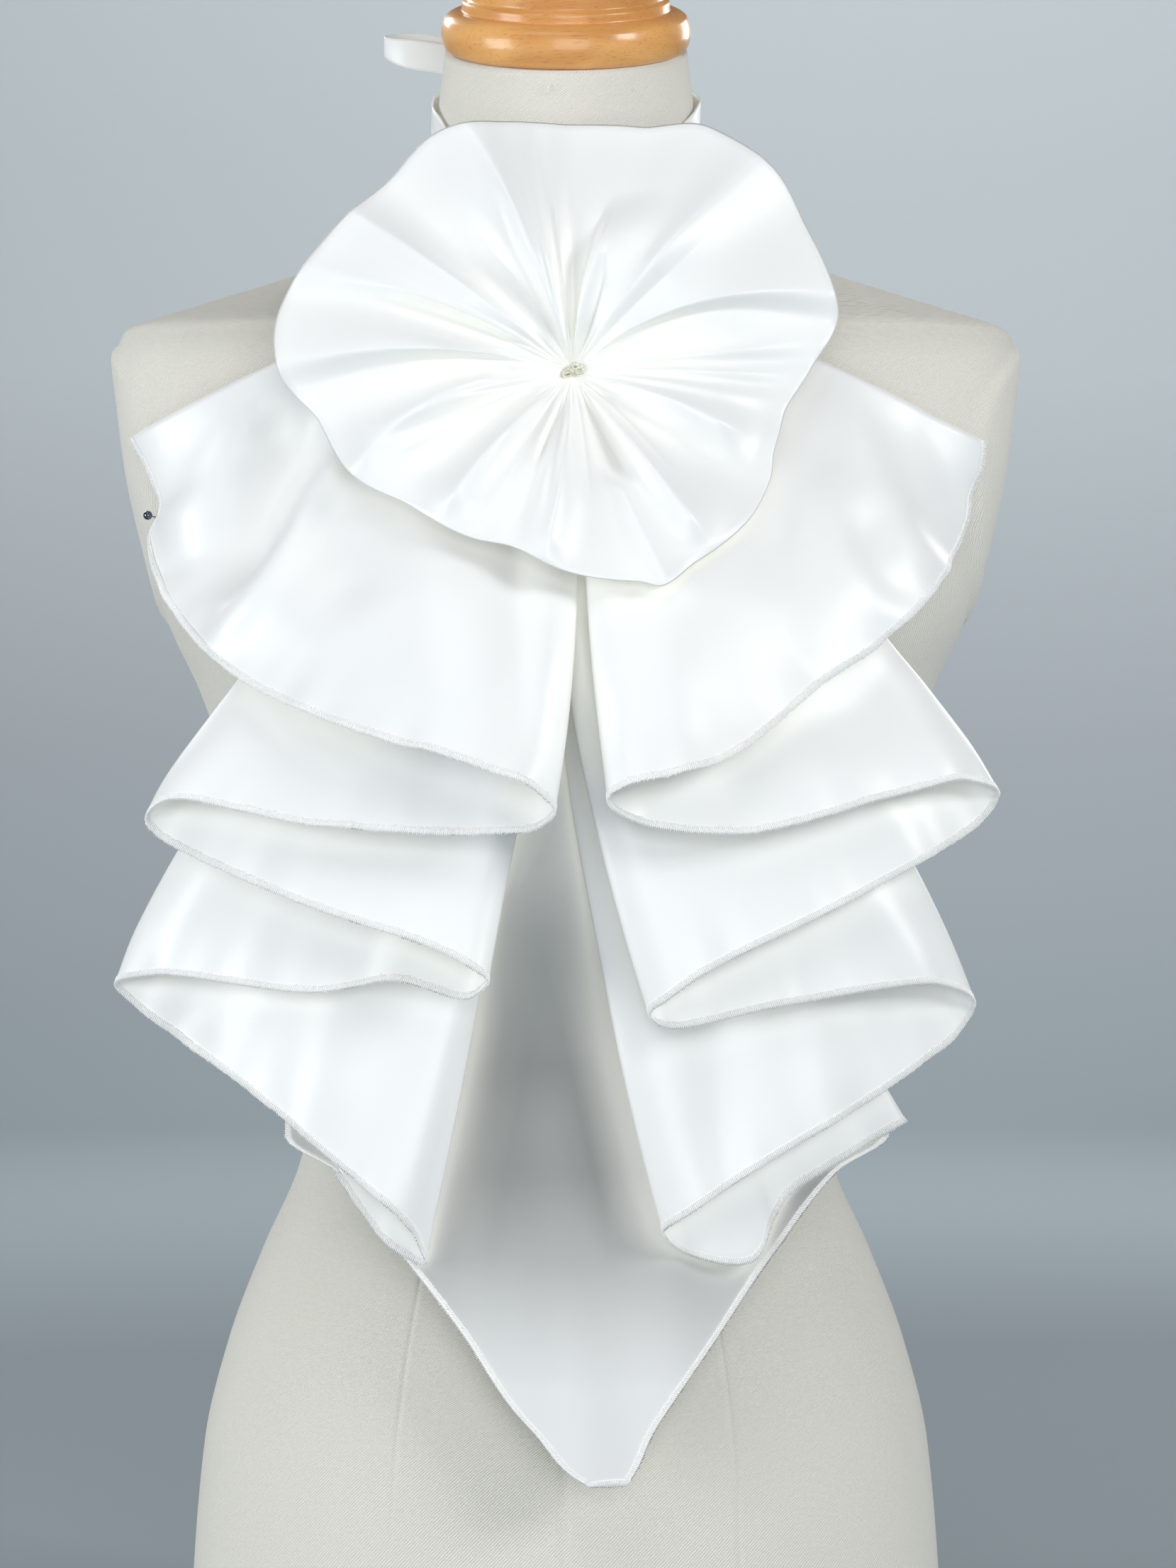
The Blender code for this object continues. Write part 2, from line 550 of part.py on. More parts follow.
def make_neck_cap():
    """Turned wooden cap that leans forward on the neck."""
    angles = np.linspace(0.0, 2.0 * math.pi, CAP_SIDES, endpoint=False)
    top = BODY[-1]
    foot = top.height + top.lean * CAP_CENTRE_Y
    lean_sine = math.sin(CAP_LEAN)
    lean_cosine = math.cos(CAP_LEAN)
    rings = []
    for step in CAP:
        up = step.height + SEAM_GAP
        x = step.radius * np.cos(angles)
        forward = step.radius * np.sin(angles)
        y = CAP_CENTRE_Y + forward * lean_cosine - up * lean_sine
        z = foot + forward * lean_sine + up * lean_cosine
        rings.append(np.stack([x, y, z], axis=1))
    return loft_rings("neck_cap", rings, BEECH)


def make_form_base():
    """Thin plate under the body, with a softened edge."""
    levels = [
        (0.0, BASE_EDGE),
        (BASE_EDGE, 0.0),
        (BASE_HEIGHT - BASE_EDGE, 0.0),
        (BASE_HEIGHT, BASE_EDGE),
    ]
    rings = []
    for height, inset in levels:
        row = Section(height, BASE_HALF_WIDTH - inset, BASE_FRONT - inset,
                      BASE_BACK - inset, BODY[0].squareness, 0.0)
        rings.append(body_ring(row, BODY_SIDES))
    return loft_rings("form_base", rings, BEECH)


def cascade_grid(folds, step, levels):
    """Middle surface of a cascade: folds run from the hem up to the gathered end."""
    table = np.array(folds)
    lengths = np.linalg.norm(np.diff(table[:, :3], axis=0), axis=1)
    steps = np.clip(np.round(lengths / step), CASCADE_FEWEST, CASCADE_MOST).astype(int)
    rows = through_points(table, steps)
    grid = []
    for x, z, lift, top_x, top_z, top_lift, bow in rows:
        line = []
        for level in levels:
            bend = 2.0 * level * (1.0 - level) * bow
            here_x = x + (top_x - x) * level + bend
            here_z = z + (top_z - z) * level
            here_lift = top_lift + (lift - top_lift) * (1.0 - level) ** CASCADE_FLARE
            line.append((here_x, -hanging_depth(here_x, here_z) - here_lift, here_z))
        grid.append(line)
    return np.array(grid)


def make_cascade(name, folds):
    """Accordion ruffle: a wall round its middle surface."""
    grid = cascade_grid(folds, CASCADE_STEP, CASCADE_LEVELS)
    normals = grid_normals(grid, False)
    half = normals * SATIN_WALL / 2.0
    return wall_from_grids(name, grid + half, grid - half, False, SATIN)


def make_under_panel():
    """Pointed panel behind the cascades, its top sewn to the neck ribbon."""
    back = []
    front = []
    for row in PANEL:
        back_line = []
        front_line = []
        for x in np.linspace(row.left, row.right, PANEL_COLUMNS):
            depth = hanging_depth(x, row.height) + row.lift
            back_line.append((x, -depth, row.height))
            front_line.append((x, -depth - SATIN_WALL, row.height))
        back.append(back_line)
        front.append(front_line)
    return wall_from_grids("under_panel", np.array(front), np.array(back), False, SATIN)


def rim_radius(angle):
    """Radius of the rosette's rim, smooth through its table."""
    angles = [point.angle for point in ROSETTE_RIM]
    radii = [point.radius for point in ROSETTE_RIM]
    return float(np.interp(angle % 360.0, angles, radii, period=360.0))


def petal_relief(angle, share):
    """Height of all the rosette's folds at an angle and a share of the radius."""
    relief = 0.0
    gather = min(1.0, share / PETAL_GATHER)
    for petal in PETALS:
        middle = petal.near + (petal.rim - petal.near) * share
        away = (angle - middle + 180.0) % 360.0 - 180.0
        opening = float(smooth_step(petal.start, petal.start + PETAL_OPENING, share))
        closing = float(smooth_step(petal.end - PETAL_CLOSING, petal.end, share))
        if petal.lap == 0:
            profile = math.exp(-(away / petal.spread) ** 2)
        else:
            behind = away * petal.lap
            rise = float(smooth_step(-PETAL_EDGE, PETAL_EDGE, behind))
            profile = rise * math.exp(-(max(behind, 0.0) / petal.spread) ** 2)
        relief += petal.height * profile * opening * (1.0 - closing) * gather
    return relief


def rosette_depth(angle, share):
    """Depth of the rosette's front."""
    upward = math.sin(math.radians(angle))
    rim_depth = ROSETTE_RIM_DEPTH - ROSETTE_RIM_RISE * upward
    rim_depth += ROSETTE_RIM_BEND * upward * upward
    fall = share ** ROSETTE_FALL_POWER
    depth = ROSETTE_CENTRE_DEPTH + (rim_depth - ROSETTE_CENTRE_DEPTH) * fall
    depth += ROSETTE_PUFF * max(math.sin(math.pi * share), 0.0) ** ROSETTE_PUFF_POWER
    depth -= ROSETTE_PIT * math.exp(-(share / ROSETTE_PIT_SHARE) ** 2)
    return depth + petal_relief(angle, share)


def make_rosette():
    """Gathered round of doubled satin, with the stub that is sewn through behind it."""
    front = []
    back = []
    for spoke in range(ROSETTE_SPOKES):
        angle = 360.0 * spoke / ROSETTE_SPOKES
        radius = rim_radius(angle)
        front_line = []
        back_line = []
        for share in ROSETTE_RINGS:
            reach = radius * share
            x = ROSETTE_CENTRE_X + reach * math.cos(math.radians(angle))
            z = ROSETTE_CENTRE_Z + reach * math.sin(math.radians(angle))
            depth = rosette_depth(angle, share)
            shank_share = (reach / ROSETTE_SHANK_RADIUS) ** ROSETTE_SHANK_POWER
            shank = ROSETTE_SHANK * math.exp(-shank_share)
            front_line.append((x, -depth, z))
            back_line.append((x, -depth + ROSETTE_WALL + shank, z))
        front.append(front_line)
        back.append(back_line)
    front = np.array(front)
    back = np.array(back)
    rows, columns = front.shape[:2]
    shift = rows * columns
    centre_depth = rosette_depth(0.0, 0.0)
    centre_back = -centre_depth + ROSETTE_WALL + ROSETTE_SHANK
    points = list(front.reshape(-1, 3)) + list(back.reshape(-1, 3))
    points.append((ROSETTE_CENTRE_X, -centre_depth, ROSETTE_CENTRE_Z))
    points.append((ROSETTE_CENTRE_X, centre_back, ROSETTE_CENTRE_Z))
    faces = []
    for row in range(rows):
        after = (row + 1) % rows
        for column in range(columns - 1):
            a = row * columns + column
            b = after * columns + column
            faces.append((a, b, b + 1, a + 1))
            faces.append((a + shift, a + 1 + shift, b + 1 + shift, b + shift))
        a = row * columns
        b = after * columns
        rim = columns - 1
        faces.append((a, 2 * shift, b))
        faces.append((a + shift, b + shift, 2 * shift + 1))
        faces.append((a + rim, b + rim, b + rim + shift, a + rim + shift))
    return add_body("rosette", points, faces, SATIN)


def skin_point(angle, height):
    """Point of the body's skin in a direction round the neck, at a height."""
    turn = np.array([math.radians(angle)])
    levels = []
    for row in BODY[-NECK_ROWS:]:
        power = 2.0 / row.squareness
        x = row.half_width * float(signed_power(np.cos(turn), power)[0])
        reach = row.back if math.sin(turn[0]) > 0.0 else row.front
        y = reach * float(signed_power(np.sin(turn), power)[0])
        levels.append((row.height + row.lean * y, x, y))
    heights = [level[0] for level in levels]
    x = float(np.interp(height, heights, [level[1] for level in levels]))
    y = float(np.interp(height, heights, [level[2] for level in levels]))
    return x, y


def make_neck_ribbon():
    """Closed ribbon round the neck, its width standing along the skin."""
    first = NECK_RIBBON[0]
    table = [(point.angle, point.height, point.slack) for point in NECK_RIBBON]
    table.append((360.0, first.height, first.slack))
    table = np.array(table)
    outer = []
    inner = []
    half_width = RIBBON_WIDTH / 2.0
    for step in range(NECK_RIBBON_STEPS):
        angle = 360.0 * step / NECK_RIBBON_STEPS
        height = float(np.interp(angle, table[:, 0], table[:, 1]))
        slack = float(np.interp(angle, table[:, 0], table[:, 2]))
        outer_line = []
        inner_line = []
        for side in (-half_width, 0.0, half_width):
            x, y = skin_point(angle, height)
            edge_x, edge_y = skin_point(angle, height + side)
            size = math.hypot(x, y)
            clear = max(size, math.hypot(edge_x, edge_y))
            for line, rise in ((inner_line, slack), (outer_line, slack + RIBBON_WALL)):
                scale = (clear + rise) / size
                line.append((x * scale, y * scale, height + side))
        outer.append(outer_line)
        inner.append(inner_line)
    return wall_from_grids("neck_ribbon", np.array(outer), np.array(inner), True, SATIN)


def make_strip(name, route, width_way):
    """Flat ribbon along a route, its width along one direction."""
    rows = np.array(route)
    line = through_points(rows, [STRIP_STEPS] * (len(rows) - 1))
    tangents = np.gradient(line, axis=0)
    tangents /= np.linalg.norm(tangents, axis=1, keepdims=True)
    width_way = np.asarray(width_way, dtype=float)
    sideways = width_way - tangents * (tangents @ width_way)[:, None]
    sideways /= np.linalg.norm(sideways, axis=1, keepdims=True)
    normals = np.cross(tangents, sideways)
    half_width = sideways * RIBBON_WIDTH / 2.0
    half_wall = normals * RIBBON_WALL / 2.0
    middle = np.stack([line - half_width, line, line + half_width], axis=1)
    front = middle + half_wall[:, None, :]
    back = middle - half_wall[:, None, :]
    return wall_from_grids(name, front, back, False, SATIN)


def make_bow_knot():
    """Soft knot at the nape, wrapped over the neck ribbon."""
    angles = np.linspace(0.0, 2.0 * math.pi, KNOT_SIDES, endpoint=False)
    end_sine = math.sin(math.radians(KNOT_TURNS[-1]))
    rings = []
    for turn in KNOT_TURNS:
        tilt = math.radians(turn)
        girth = math.sqrt(math.cos(tilt))
        across = KNOT_CENTRE.x + KNOT_HALF.x * math.sin(tilt) / end_sine
        x = np.full(KNOT_SIDES, across)
        y = KNOT_CENTRE.y + KNOT_HALF.y * girth * np.cos(angles)
        z = KNOT_CENTRE.z + KNOT_HALF.z * girth * np.sin(angles)
        rings.append(np.stack([x, y, z], axis=1))
    return loft_rings("bow_knot", rings, SATIN)


def main():
    """Build the dress form, then the collar on it."""
    clear_scene()
    make_form_base()
    make_form_torso()
    make_neck_cap()
    make_under_panel()
    make_cascade("cascade_left", LEFT_FOLDS)
    make_cascade("cascade_right", RIGHT_FOLDS)
    make_rosette()
    make_neck_ribbon()
    make_bow_knot()
    make_strip("bow_loop_left", BOW_LOOP_LEFT, (0.0, 0.0, 1.0))
    make_strip("bow_loop_right", BOW_LOOP_RIGHT, (0.0, 0.0, 1.0))
    make_strip("ribbon_tail_left", TAIL_LEFT, (1.0, 0.0, 0.0))
    make_strip("ribbon_tail_right", TAIL_RIGHT, (1.0, 0.0, 0.0))


main()
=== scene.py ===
"""Looks of a white satin jabot collar with a gathered rosette, worn on a limbless dress form.

Metres, +Z up, the front looks towards -Y. Every piece of cloth is a thin shell worked out
from its cut, on the form that its solid has, with the creases placed on top.
"""

import logging
import math
from dataclasses import dataclass
from enum import Enum
from typing import NamedTuple, Sequence

import bmesh
import bpy
import numpy as np
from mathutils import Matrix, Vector

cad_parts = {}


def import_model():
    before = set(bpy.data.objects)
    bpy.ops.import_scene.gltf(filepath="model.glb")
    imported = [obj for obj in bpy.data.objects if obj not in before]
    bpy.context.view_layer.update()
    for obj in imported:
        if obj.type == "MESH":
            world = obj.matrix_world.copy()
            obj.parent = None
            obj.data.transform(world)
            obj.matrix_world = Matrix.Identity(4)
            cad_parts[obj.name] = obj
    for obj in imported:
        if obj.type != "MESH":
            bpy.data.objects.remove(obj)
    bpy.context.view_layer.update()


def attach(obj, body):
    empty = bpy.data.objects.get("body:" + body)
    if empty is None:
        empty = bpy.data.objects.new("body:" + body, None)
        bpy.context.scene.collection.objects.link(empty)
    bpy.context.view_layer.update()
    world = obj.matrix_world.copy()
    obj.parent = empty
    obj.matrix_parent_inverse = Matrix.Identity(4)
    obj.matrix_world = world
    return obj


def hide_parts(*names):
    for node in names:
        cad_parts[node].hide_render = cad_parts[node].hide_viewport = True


LOG = logging.getLogger("jabot")
ROOT = "root"
SEED = 7

Point = tuple[float, float, float]
Colour = tuple[float, float, float, float]


class Section(NamedTuple):
    """One level of the dress form's body; lean is its rise for each metre to the back."""

    height: float
    half_width: float
    front: float
    back: float
    squareness: float
    lean: float


class CapStep(NamedTuple):
    """One step of the turned cap, along its own axis."""

    radius: float
    height: float


class Fold(NamedTuple):
    """One place along a cascade's hem, and where its cloth is gathered."""

    x: float
    z: float
    lift: float
    top_x: float
    top_z: float
    top_lift: float
    bow: float


class Crease(NamedTuple):
    """A soft ridge (height above nothing) or trough on a cascade, between two points.

    first and last are the rows of the fold table that it reaches.
    """

    first: float
    last: float
    x1: float
    z1: float
    x2: float
    z2: float
    width: float
    height: float


class PanelRow(NamedTuple):
    """One level of the under panel: its edges, and how far it stands off the hanging line."""

    height: float
    left: float
    right: float
    lift: float


class RimPoint(NamedTuple):
    """Radius of the rosette's rim at an angle."""

    angle: float
    radius: float


class Petal(NamedTuple):
    """A broad fold of the rosette; lap is 1 or -1 where it laps over its neighbour."""

    near: float
    rim: float
    height: float
    spread: float
    start: float
    end: float
    lap: int


class Pinch(NamedTuple):
    """A narrow crease that runs out of the rosette's gathers."""

    near: float
    far: float
    depth: float
    spread: float
    reach: float


class RibbonPoint(NamedTuple):
    """One place round the neck: angle, height, and how slack the ribbon is there."""

    angle: float
    height: float
    slack: float


class StripPoint(NamedTuple):
    """One point on the route of a strip of ribbon."""

    x: float
    y: float
    z: float


BODY: tuple[Section, ...] = (
    Section(0.0153, 0.163, 0.106, 0.122, 2.3, 0.0),
    Section(0.060, 0.161, 0.106, 0.121, 2.3, 0.0),
    Section(0.118, 0.156, 0.104, 0.118, 2.3, 0.0),
    Section(0.160, 0.146, 0.101, 0.112, 2.3, 0.0),
    Section(0.200, 0.131, 0.095, 0.102, 2.3, 0.0),
    Section(0.237, 0.115, 0.086, 0.088, 2.3, 0.0),
    Section(0.268, 0.109, 0.080, 0.078, 2.3, 0.0),
    Section(0.300, 0.112, 0.080, 0.076, 2.3, 0.0),
    Section(0.340, 0.121, 0.090, 0.080, 2.3, 0.0),
    Section(0.380, 0.135, 0.105, 0.088, 2.3, 0.0),
    Section(0.410, 0.147, 0.116, 0.094, 2.3, 0.0),
    Section(0.440, 0.158, 0.121, 0.098, 2.35, 0.0),
    Section(0.471, 0.172, 0.118, 0.101, 2.6, 0.0),
    Section(0.500, 0.180, 0.108, 0.102, 2.8, 0.0),
    Section(0.536, 0.188, 0.093, 0.098, 3.0, 0.0),
    Section(0.565, 0.192, 0.080, 0.092, 3.0, 0.0),
    Section(0.583, 0.194, 0.072, 0.086, 3.0, 0.0),
    Section(0.594, 0.191, 0.067, 0.080, 2.9, 0.0),
    Section(0.604, 0.165, 0.064, 0.074, 2.6, 0.0),
    Section(0.612, 0.140, 0.061, 0.068, 2.4, 0.0),
    Section(0.619, 0.118, 0.059, 0.063, 2.3, 0.0),
    Section(0.630, 0.088, 0.057, 0.058, 2.2, 0.0),
    Section(0.641, 0.064, 0.056, 0.055, 2.1, 0.0),
    Section(0.655, 0.0575, 0.0555, 0.053, 2.0, 0.0),
    Section(0.690, 0.0555, 0.057, 0.050, 2.0, 0.20),
    Section(0.718, 0.0525, 0.058, 0.046, 2.0, 0.325),
)
CAP: tuple[CapStep, ...] = (
    CapStep(0.0490, 0.0000),
    CapStep(0.0525, 0.0025),
    CapStep(0.0540, 0.0085),
    CapStep(0.0525, 0.0150),
    CapStep(0.0480, 0.0180),
    CapStep(0.0450, 0.0185),
    CapStep(0.0448, 0.0220),
    CapStep(0.0425, 0.0240),
    CapStep(0.0428, 0.0300),
    CapStep(0.0420, 0.0380),
    CapStep(0.0360, 0.0500),
    CapStep(0.0240, 0.0575),
    CapStep(0.0120, 0.0600),
    CapStep(0.0095, 0.0630),
    CapStep(0.0120, 0.0680),
    CapStep(0.0125, 0.0720),
    CapStep(0.0095, 0.0765),
    CapStep(0.0045, 0.0785),
)
LEFT_FOLDS: tuple[Fold, ...] = (
    Fold(-0.1827, 0.5445, 0.022, -0.0200, 0.6200, 0.0225, 0.0),
    Fold(-0.1689, 0.5180, 0.012, -0.0160, 0.6030, 0.0225, 0.0),
    Fold(-0.1731, 0.4980, 0.017, -0.0125, 0.5900, 0.0225, -0.006),
    Fold(-0.1630, 0.4740, 0.030, -0.0085, 0.5790, 0.0225, -0.010),
    Fold(-0.1327, 0.4440, 0.050, -0.0060, 0.5700, 0.0225, -0.010),
    Fold(-0.0831, 0.4216, 0.068, -0.0036, 0.5640, 0.0225, -0.006),
    Fold(-0.0363, 0.4076, 0.076, -0.0022, 0.5622, 0.0225, 0.002),
    Fold(-0.0118, 0.3985, 0.075, -0.0004, 0.5610, 0.0225, 0.009),
    Fold(-0.0037, 0.3899, 0.068, 0.0004, 0.5605, 0.0205, 0.0130),
    Fold(-0.0110, 0.3825, 0.060, -0.0004, 0.5600, 0.0185, 0.011),
    Fold(-0.0305, 0.3806, 0.059, -0.0040, 0.5580, 0.0185, 0.006),
    Fold(-0.0992, 0.3839, 0.059, -0.0160, 0.5530, 0.0185, -0.010),
    Fold(-0.1573, 0.3931, 0.058, -0.0240, 0.5510, 0.0185, -0.022),
    Fold(-0.1695, 0.3857, 0.053, -0.0260, 0.5500, 0.0165, -0.025),
    Fold(-0.1633, 0.3784, 0.048, -0.0240, 0.5480, 0.0145, -0.023),
    Fold(-0.1063, 0.3531, 0.048, -0.0170, 0.5240, 0.0145, -0.012),
    Fold(-0.0495, 0.3341, 0.047, -0.0080, 0.4850, 0.0145, 0.0),
    Fold(-0.0365, 0.3270, 0.046, -0.0050, 0.4740, 0.0145, 0.0),
    Fold(-0.0304, 0.3206, 0.041, -0.0020, 0.4700, 0.0125, 0.0),
    Fold(-0.0380, 0.3145, 0.036, -0.0050, 0.4700, 0.0105, 0.0),
    Fold(-0.0689, 0.3216, 0.036, -0.0120, 0.4880, 0.0105, -0.004),
    Fold(-0.1007, 0.3165, 0.036, -0.0180, 0.5050, 0.0105, -0.012),
    Fold(-0.1663, 0.3223, 0.036, -0.0280, 0.5280, 0.0105, -0.030),
    Fold(-0.1847, 0.3174, 0.030, -0.0300, 0.5300, 0.0085, -0.034),
    Fold(-0.1771, 0.3089, 0.024, -0.0280, 0.5270, 0.0065, -0.031),
    Fold(-0.1243, 0.2725, 0.024, -0.0210, 0.4950, 0.0065, -0.017),
    Fold(-0.0823, 0.2386, 0.024, -0.0130, 0.4520, 0.0065, -0.003),
    Fold(-0.0660, 0.2250, 0.023, -0.0090, 0.4420, 0.0065, 0.0),
    Fold(-0.0602, 0.2169, 0.017, -0.0060, 0.4390, 0.0050, 0.0),
    Fold(-0.0570, 0.2055, 0.012, -0.0090, 0.4400, 0.0032, 0.0),
    Fold(-0.0720, 0.2135, 0.012, -0.0130, 0.4440, 0.0032, 0.0),
    Fold(-0.0926, 0.2405, 0.012, -0.0170, 0.4480, 0.0032, 0.0),
)
RIGHT_FOLDS: tuple[Fold, ...] = (
    Fold(0.1758, 0.5424, 0.018, 0.0240, 0.6120, 0.0225, 0.0),
    Fold(0.1730, 0.5276, 0.016, 0.0210, 0.6000, 0.0225, 0.0),
    Fold(0.1636, 0.5005, 0.022, 0.0180, 0.5880, 0.0225, 0.006),
    Fold(0.1452, 0.4734, 0.046, 0.0148, 0.5780, 0.0225, 0.010),
    Fold(0.1238, 0.4540, 0.051, 0.0124, 0.5700, 0.0225, 0.010),
    Fold(0.1035, 0.4407, 0.058, 0.0106, 0.5658, 0.0225, 0.008),
    Fold(0.0679, 0.4123, 0.070, 0.0096, 0.5632, 0.0225, 0.005),
    Fold(0.0462, 0.4046, 0.075, 0.0086, 0.5620, 0.0225, 0.002),
    Fold(0.0250, 0.4000, 0.075, 0.0070, 0.5610, 0.0225, -0.003),
    Fold(0.0181, 0.3945, 0.068, 0.0062, 0.5605, 0.0205, -0.0065),
    Fold(0.0240, 0.3868, 0.060, 0.0070, 0.5600, 0.0185, -0.005),
    Fold(0.0713, 0.3808, 0.060, 0.0150, 0.5570, 0.0185, 0.004),
    Fold(0.1346, 0.3962, 0.059, 0.0260, 0.5530, 0.0185, 0.017),
    Fold(0.1633, 0.4015, 0.058, 0.0300, 0.5510, 0.0185, 0.025),
    Fold(0.1754, 0.3960, 0.053, 0.0320, 0.5500, 0.0165, 0.028),
    Fold(0.1699, 0.3857, 0.048, 0.0300, 0.5480, 0.0145, 0.025),
    Fold(0.1193, 0.3561, 0.048, 0.0230, 0.5240, 0.0145, 0.013),
    Fold(0.0562, 0.3254, 0.047, 0.0045, 0.4970, 0.0285, -0.004),
    Fold(0.0420, 0.3155, 0.046, -0.0020, 0.4950, 0.0305, -0.009),
    Fold(0.0338, 0.3087, 0.041, -0.0050, 0.4950, 0.0285, -0.011),
    Fold(0.0415, 0.3030, 0.036, -0.0020, 0.4950, 0.0250, -0.009),
    Fold(0.0881, 0.3114, 0.036, 0.0180, 0.5100, 0.0105, 0.004),
    Fold(0.1528, 0.3185, 0.036, 0.0290, 0.5180, 0.0105, 0.024),
    Fold(0.1677, 0.3108, 0.030, 0.0320, 0.5210, 0.0085, 0.028),
    Fold(0.1620, 0.2987, 0.024, 0.0300, 0.5180, 0.0065, 0.025),
    Fold(0.1373, 0.2802, 0.024, 0.0250, 0.4950, 0.0065, 0.016),
    Fold(0.0727, 0.2420, 0.024, 0.0130, 0.4480, 0.0065, 0.0),
    Fold(0.0490, 0.2265, 0.023, -0.0042, 0.4700, 0.0065, -0.007),
    Fold(0.0395, 0.2190, 0.017, -0.0068, 0.4690, 0.0050, -0.0098),
    Fold(0.0476, 0.2110, 0.012, -0.0042, 0.4680, 0.0032, -0.007),
    Fold(0.0764, 0.2064, 0.012, 0.0080, 0.4600, 0.0032, 0.0),
    Fold(0.0892, 0.2310, 0.012, 0.0180, 0.4380, 0.0032, 0.0),
    Fold(0.1152, 0.2479, 0.012, 0.0240, 0.4430, 0.0032, 0.0),
    Fold(0.1399, 0.2616, 0.012, 0.0300, 0.4480, 0.0032, 0.0),
)
PANEL: tuple[PanelRow, ...] = (
    PanelRow(0.1165, 0.0100, 0.0250, 0.0080),
    PanelRow(0.1235, 0.0000, 0.0295, 0.0078),
    PanelRow(0.1360, -0.0105, 0.0350, 0.0073),
    PanelRow(0.1486, -0.0223, 0.0430, 0.0068),
    PanelRow(0.1770, -0.0415, 0.0630, 0.0058),
    PanelRow(0.2090, -0.0660, 0.0852, 0.0048),
    PanelRow(0.2420, -0.0925, 0.1110, 0.0040),
    PanelRow(0.2560, -0.1140, 0.1330, 0.0038),
    PanelRow(0.2800, -0.1120, 0.1300, 0.0032),
    PanelRow(0.3300, -0.1060, 0.1220, 0.0022),
    PanelRow(0.3800, -0.0980, 0.1110, 0.0012),
    PanelRow(0.4100, -0.0920, 0.1030, 0.0006),
    PanelRow(0.4260, -0.0880, 0.0980, 0.0003),
    PanelRow(0.4400, -0.0840, 0.0930, 0.0),
    PanelRow(0.4550, -0.0800, 0.0880, 0.0),
    PanelRow(0.4710, -0.0760, 0.0830, 0.0),
    PanelRow(0.4860, -0.0720, 0.0780, 0.0),
    PanelRow(0.5000, -0.0680, 0.0740, 0.0),
    PanelRow(0.5180, -0.0630, 0.0690, 0.0),
    PanelRow(0.5360, -0.0580, 0.0630, 0.0),
    PanelRow(0.5650, -0.0470, 0.0510, 0.0),
    PanelRow(0.5830, -0.0400, 0.0430, 0.0),
    PanelRow(0.6040, -0.0300, 0.0330, 0.0),
    PanelRow(0.6190, -0.0230, 0.0260, 0.0),
    PanelRow(0.6350, -0.0180, 0.0200, 0.0),
    PanelRow(0.6470, -0.0150, 0.0170, 0.0),
)
ROSETTE_RIM: tuple[RimPoint, ...] = (
    RimPoint(0, 0.0966),
    RimPoint(13, 0.1111),
    RimPoint(31, 0.1126),
    RimPoint(46, 0.1176),
    RimPoint(61, 0.1169),
    RimPoint(75, 0.1065),
    RimPoint(90, 0.1039),
    RimPoint(103, 0.1073),
    RimPoint(120, 0.1140),
    RimPoint(134, 0.1100),
    RimPoint(151, 0.1147),
    RimPoint(171, 0.1220),
    RimPoint(180, 0.1192),
    RimPoint(192, 0.1045),
    RimPoint(205, 0.0997),
    RimPoint(222, 0.0860),
    RimPoint(241, 0.0810),
    RimPoint(252, 0.0781),
    RimPoint(268, 0.0843),
    RimPoint(287, 0.0925),
    RimPoint(292, 0.0970),
    RimPoint(302, 0.0941),
    RimPoint(317, 0.0944),
    RimPoint(330, 0.0917),
    RimPoint(338, 0.0880),
    RimPoint(347, 0.0875),
)
PETALS: tuple[Petal, ...] = (
    Petal(38, 13, 0.0078, 26, 0.08, 1.30, 1),
    Petal(56, 49, 0.0080, 9, 0.10, 1.30, 0),
    Petal(88, 71, 0.0075, 16, 0.05, 0.72, -1),
    Petal(95, 93, -0.0018, 7, 0.04, 0.50, 0),
    Petal(104, 113, 0.0090, 10, 0.05, 1.30, 0),
    Petal(130, 134, -0.0015, 9, 0.10, 0.80, 0),
    Petal(141, 144, 0.0065, 6, 0.10, 1.30, 0),
    Petal(149, 162, 0.0070, 13, 0.12, 1.30, -1),
    Petal(169, 182, 0.0085, 13, 0.12, 1.30, -1),
    Petal(178, 206, 0.0070, 8, 0.20, 1.10, 0),
    Petal(210, 217, -0.0045, 6, 0.10, 0.95, 0),
    Petal(222, 230, 0.0080, 9, 0.15, 1.05, 0),
    Petal(253, 250, -0.0030, 5, 0.06, 0.62, 0),
    Petal(268, 262, 0.0070, 7, 0.10, 1.10, 0),
    Petal(291, 293, -0.0010, 6, 0.10, 0.60, 0),
    Petal(289, 293, 0.0055, 6, 0.45, 1.30, 0),
    Petal(308, 307, 0.0080, 8, 0.08, 1.05, 0),
    Petal(320, 327, -0.0032, 10, 0.10, 1.20, 0),
    Petal(344, 337, 0.0055, 8, 0.15, 0.95, 0),
    Petal(357, 356, -0.0035, 7, 0.06, 0.35, 0),
)
NECK_RIBBON: tuple[RibbonPoint, ...] = (
    RibbonPoint(0, 0.690, 0.0015),
    RibbonPoint(45, 0.705, 0.0006),
    RibbonPoint(90, 0.713, 0.0006),
    RibbonPoint(135, 0.705, 0.0006),
    RibbonPoint(180, 0.689, 0.0015),
    RibbonPoint(200, 0.679, 0.0010),
    RibbonPoint(216, 0.668, 0.0018),
    RibbonPoint(235, 0.654, 0.0036),
    RibbonPoint(253, 0.643, 0.0036),
    RibbonPoint(270, 0.640, 0.0028),
    RibbonPoint(287, 0.643, 0.0036),
    RibbonPoint(308, 0.656, 0.0018),
    RibbonPoint(332, 0.676, 0.0010),
)
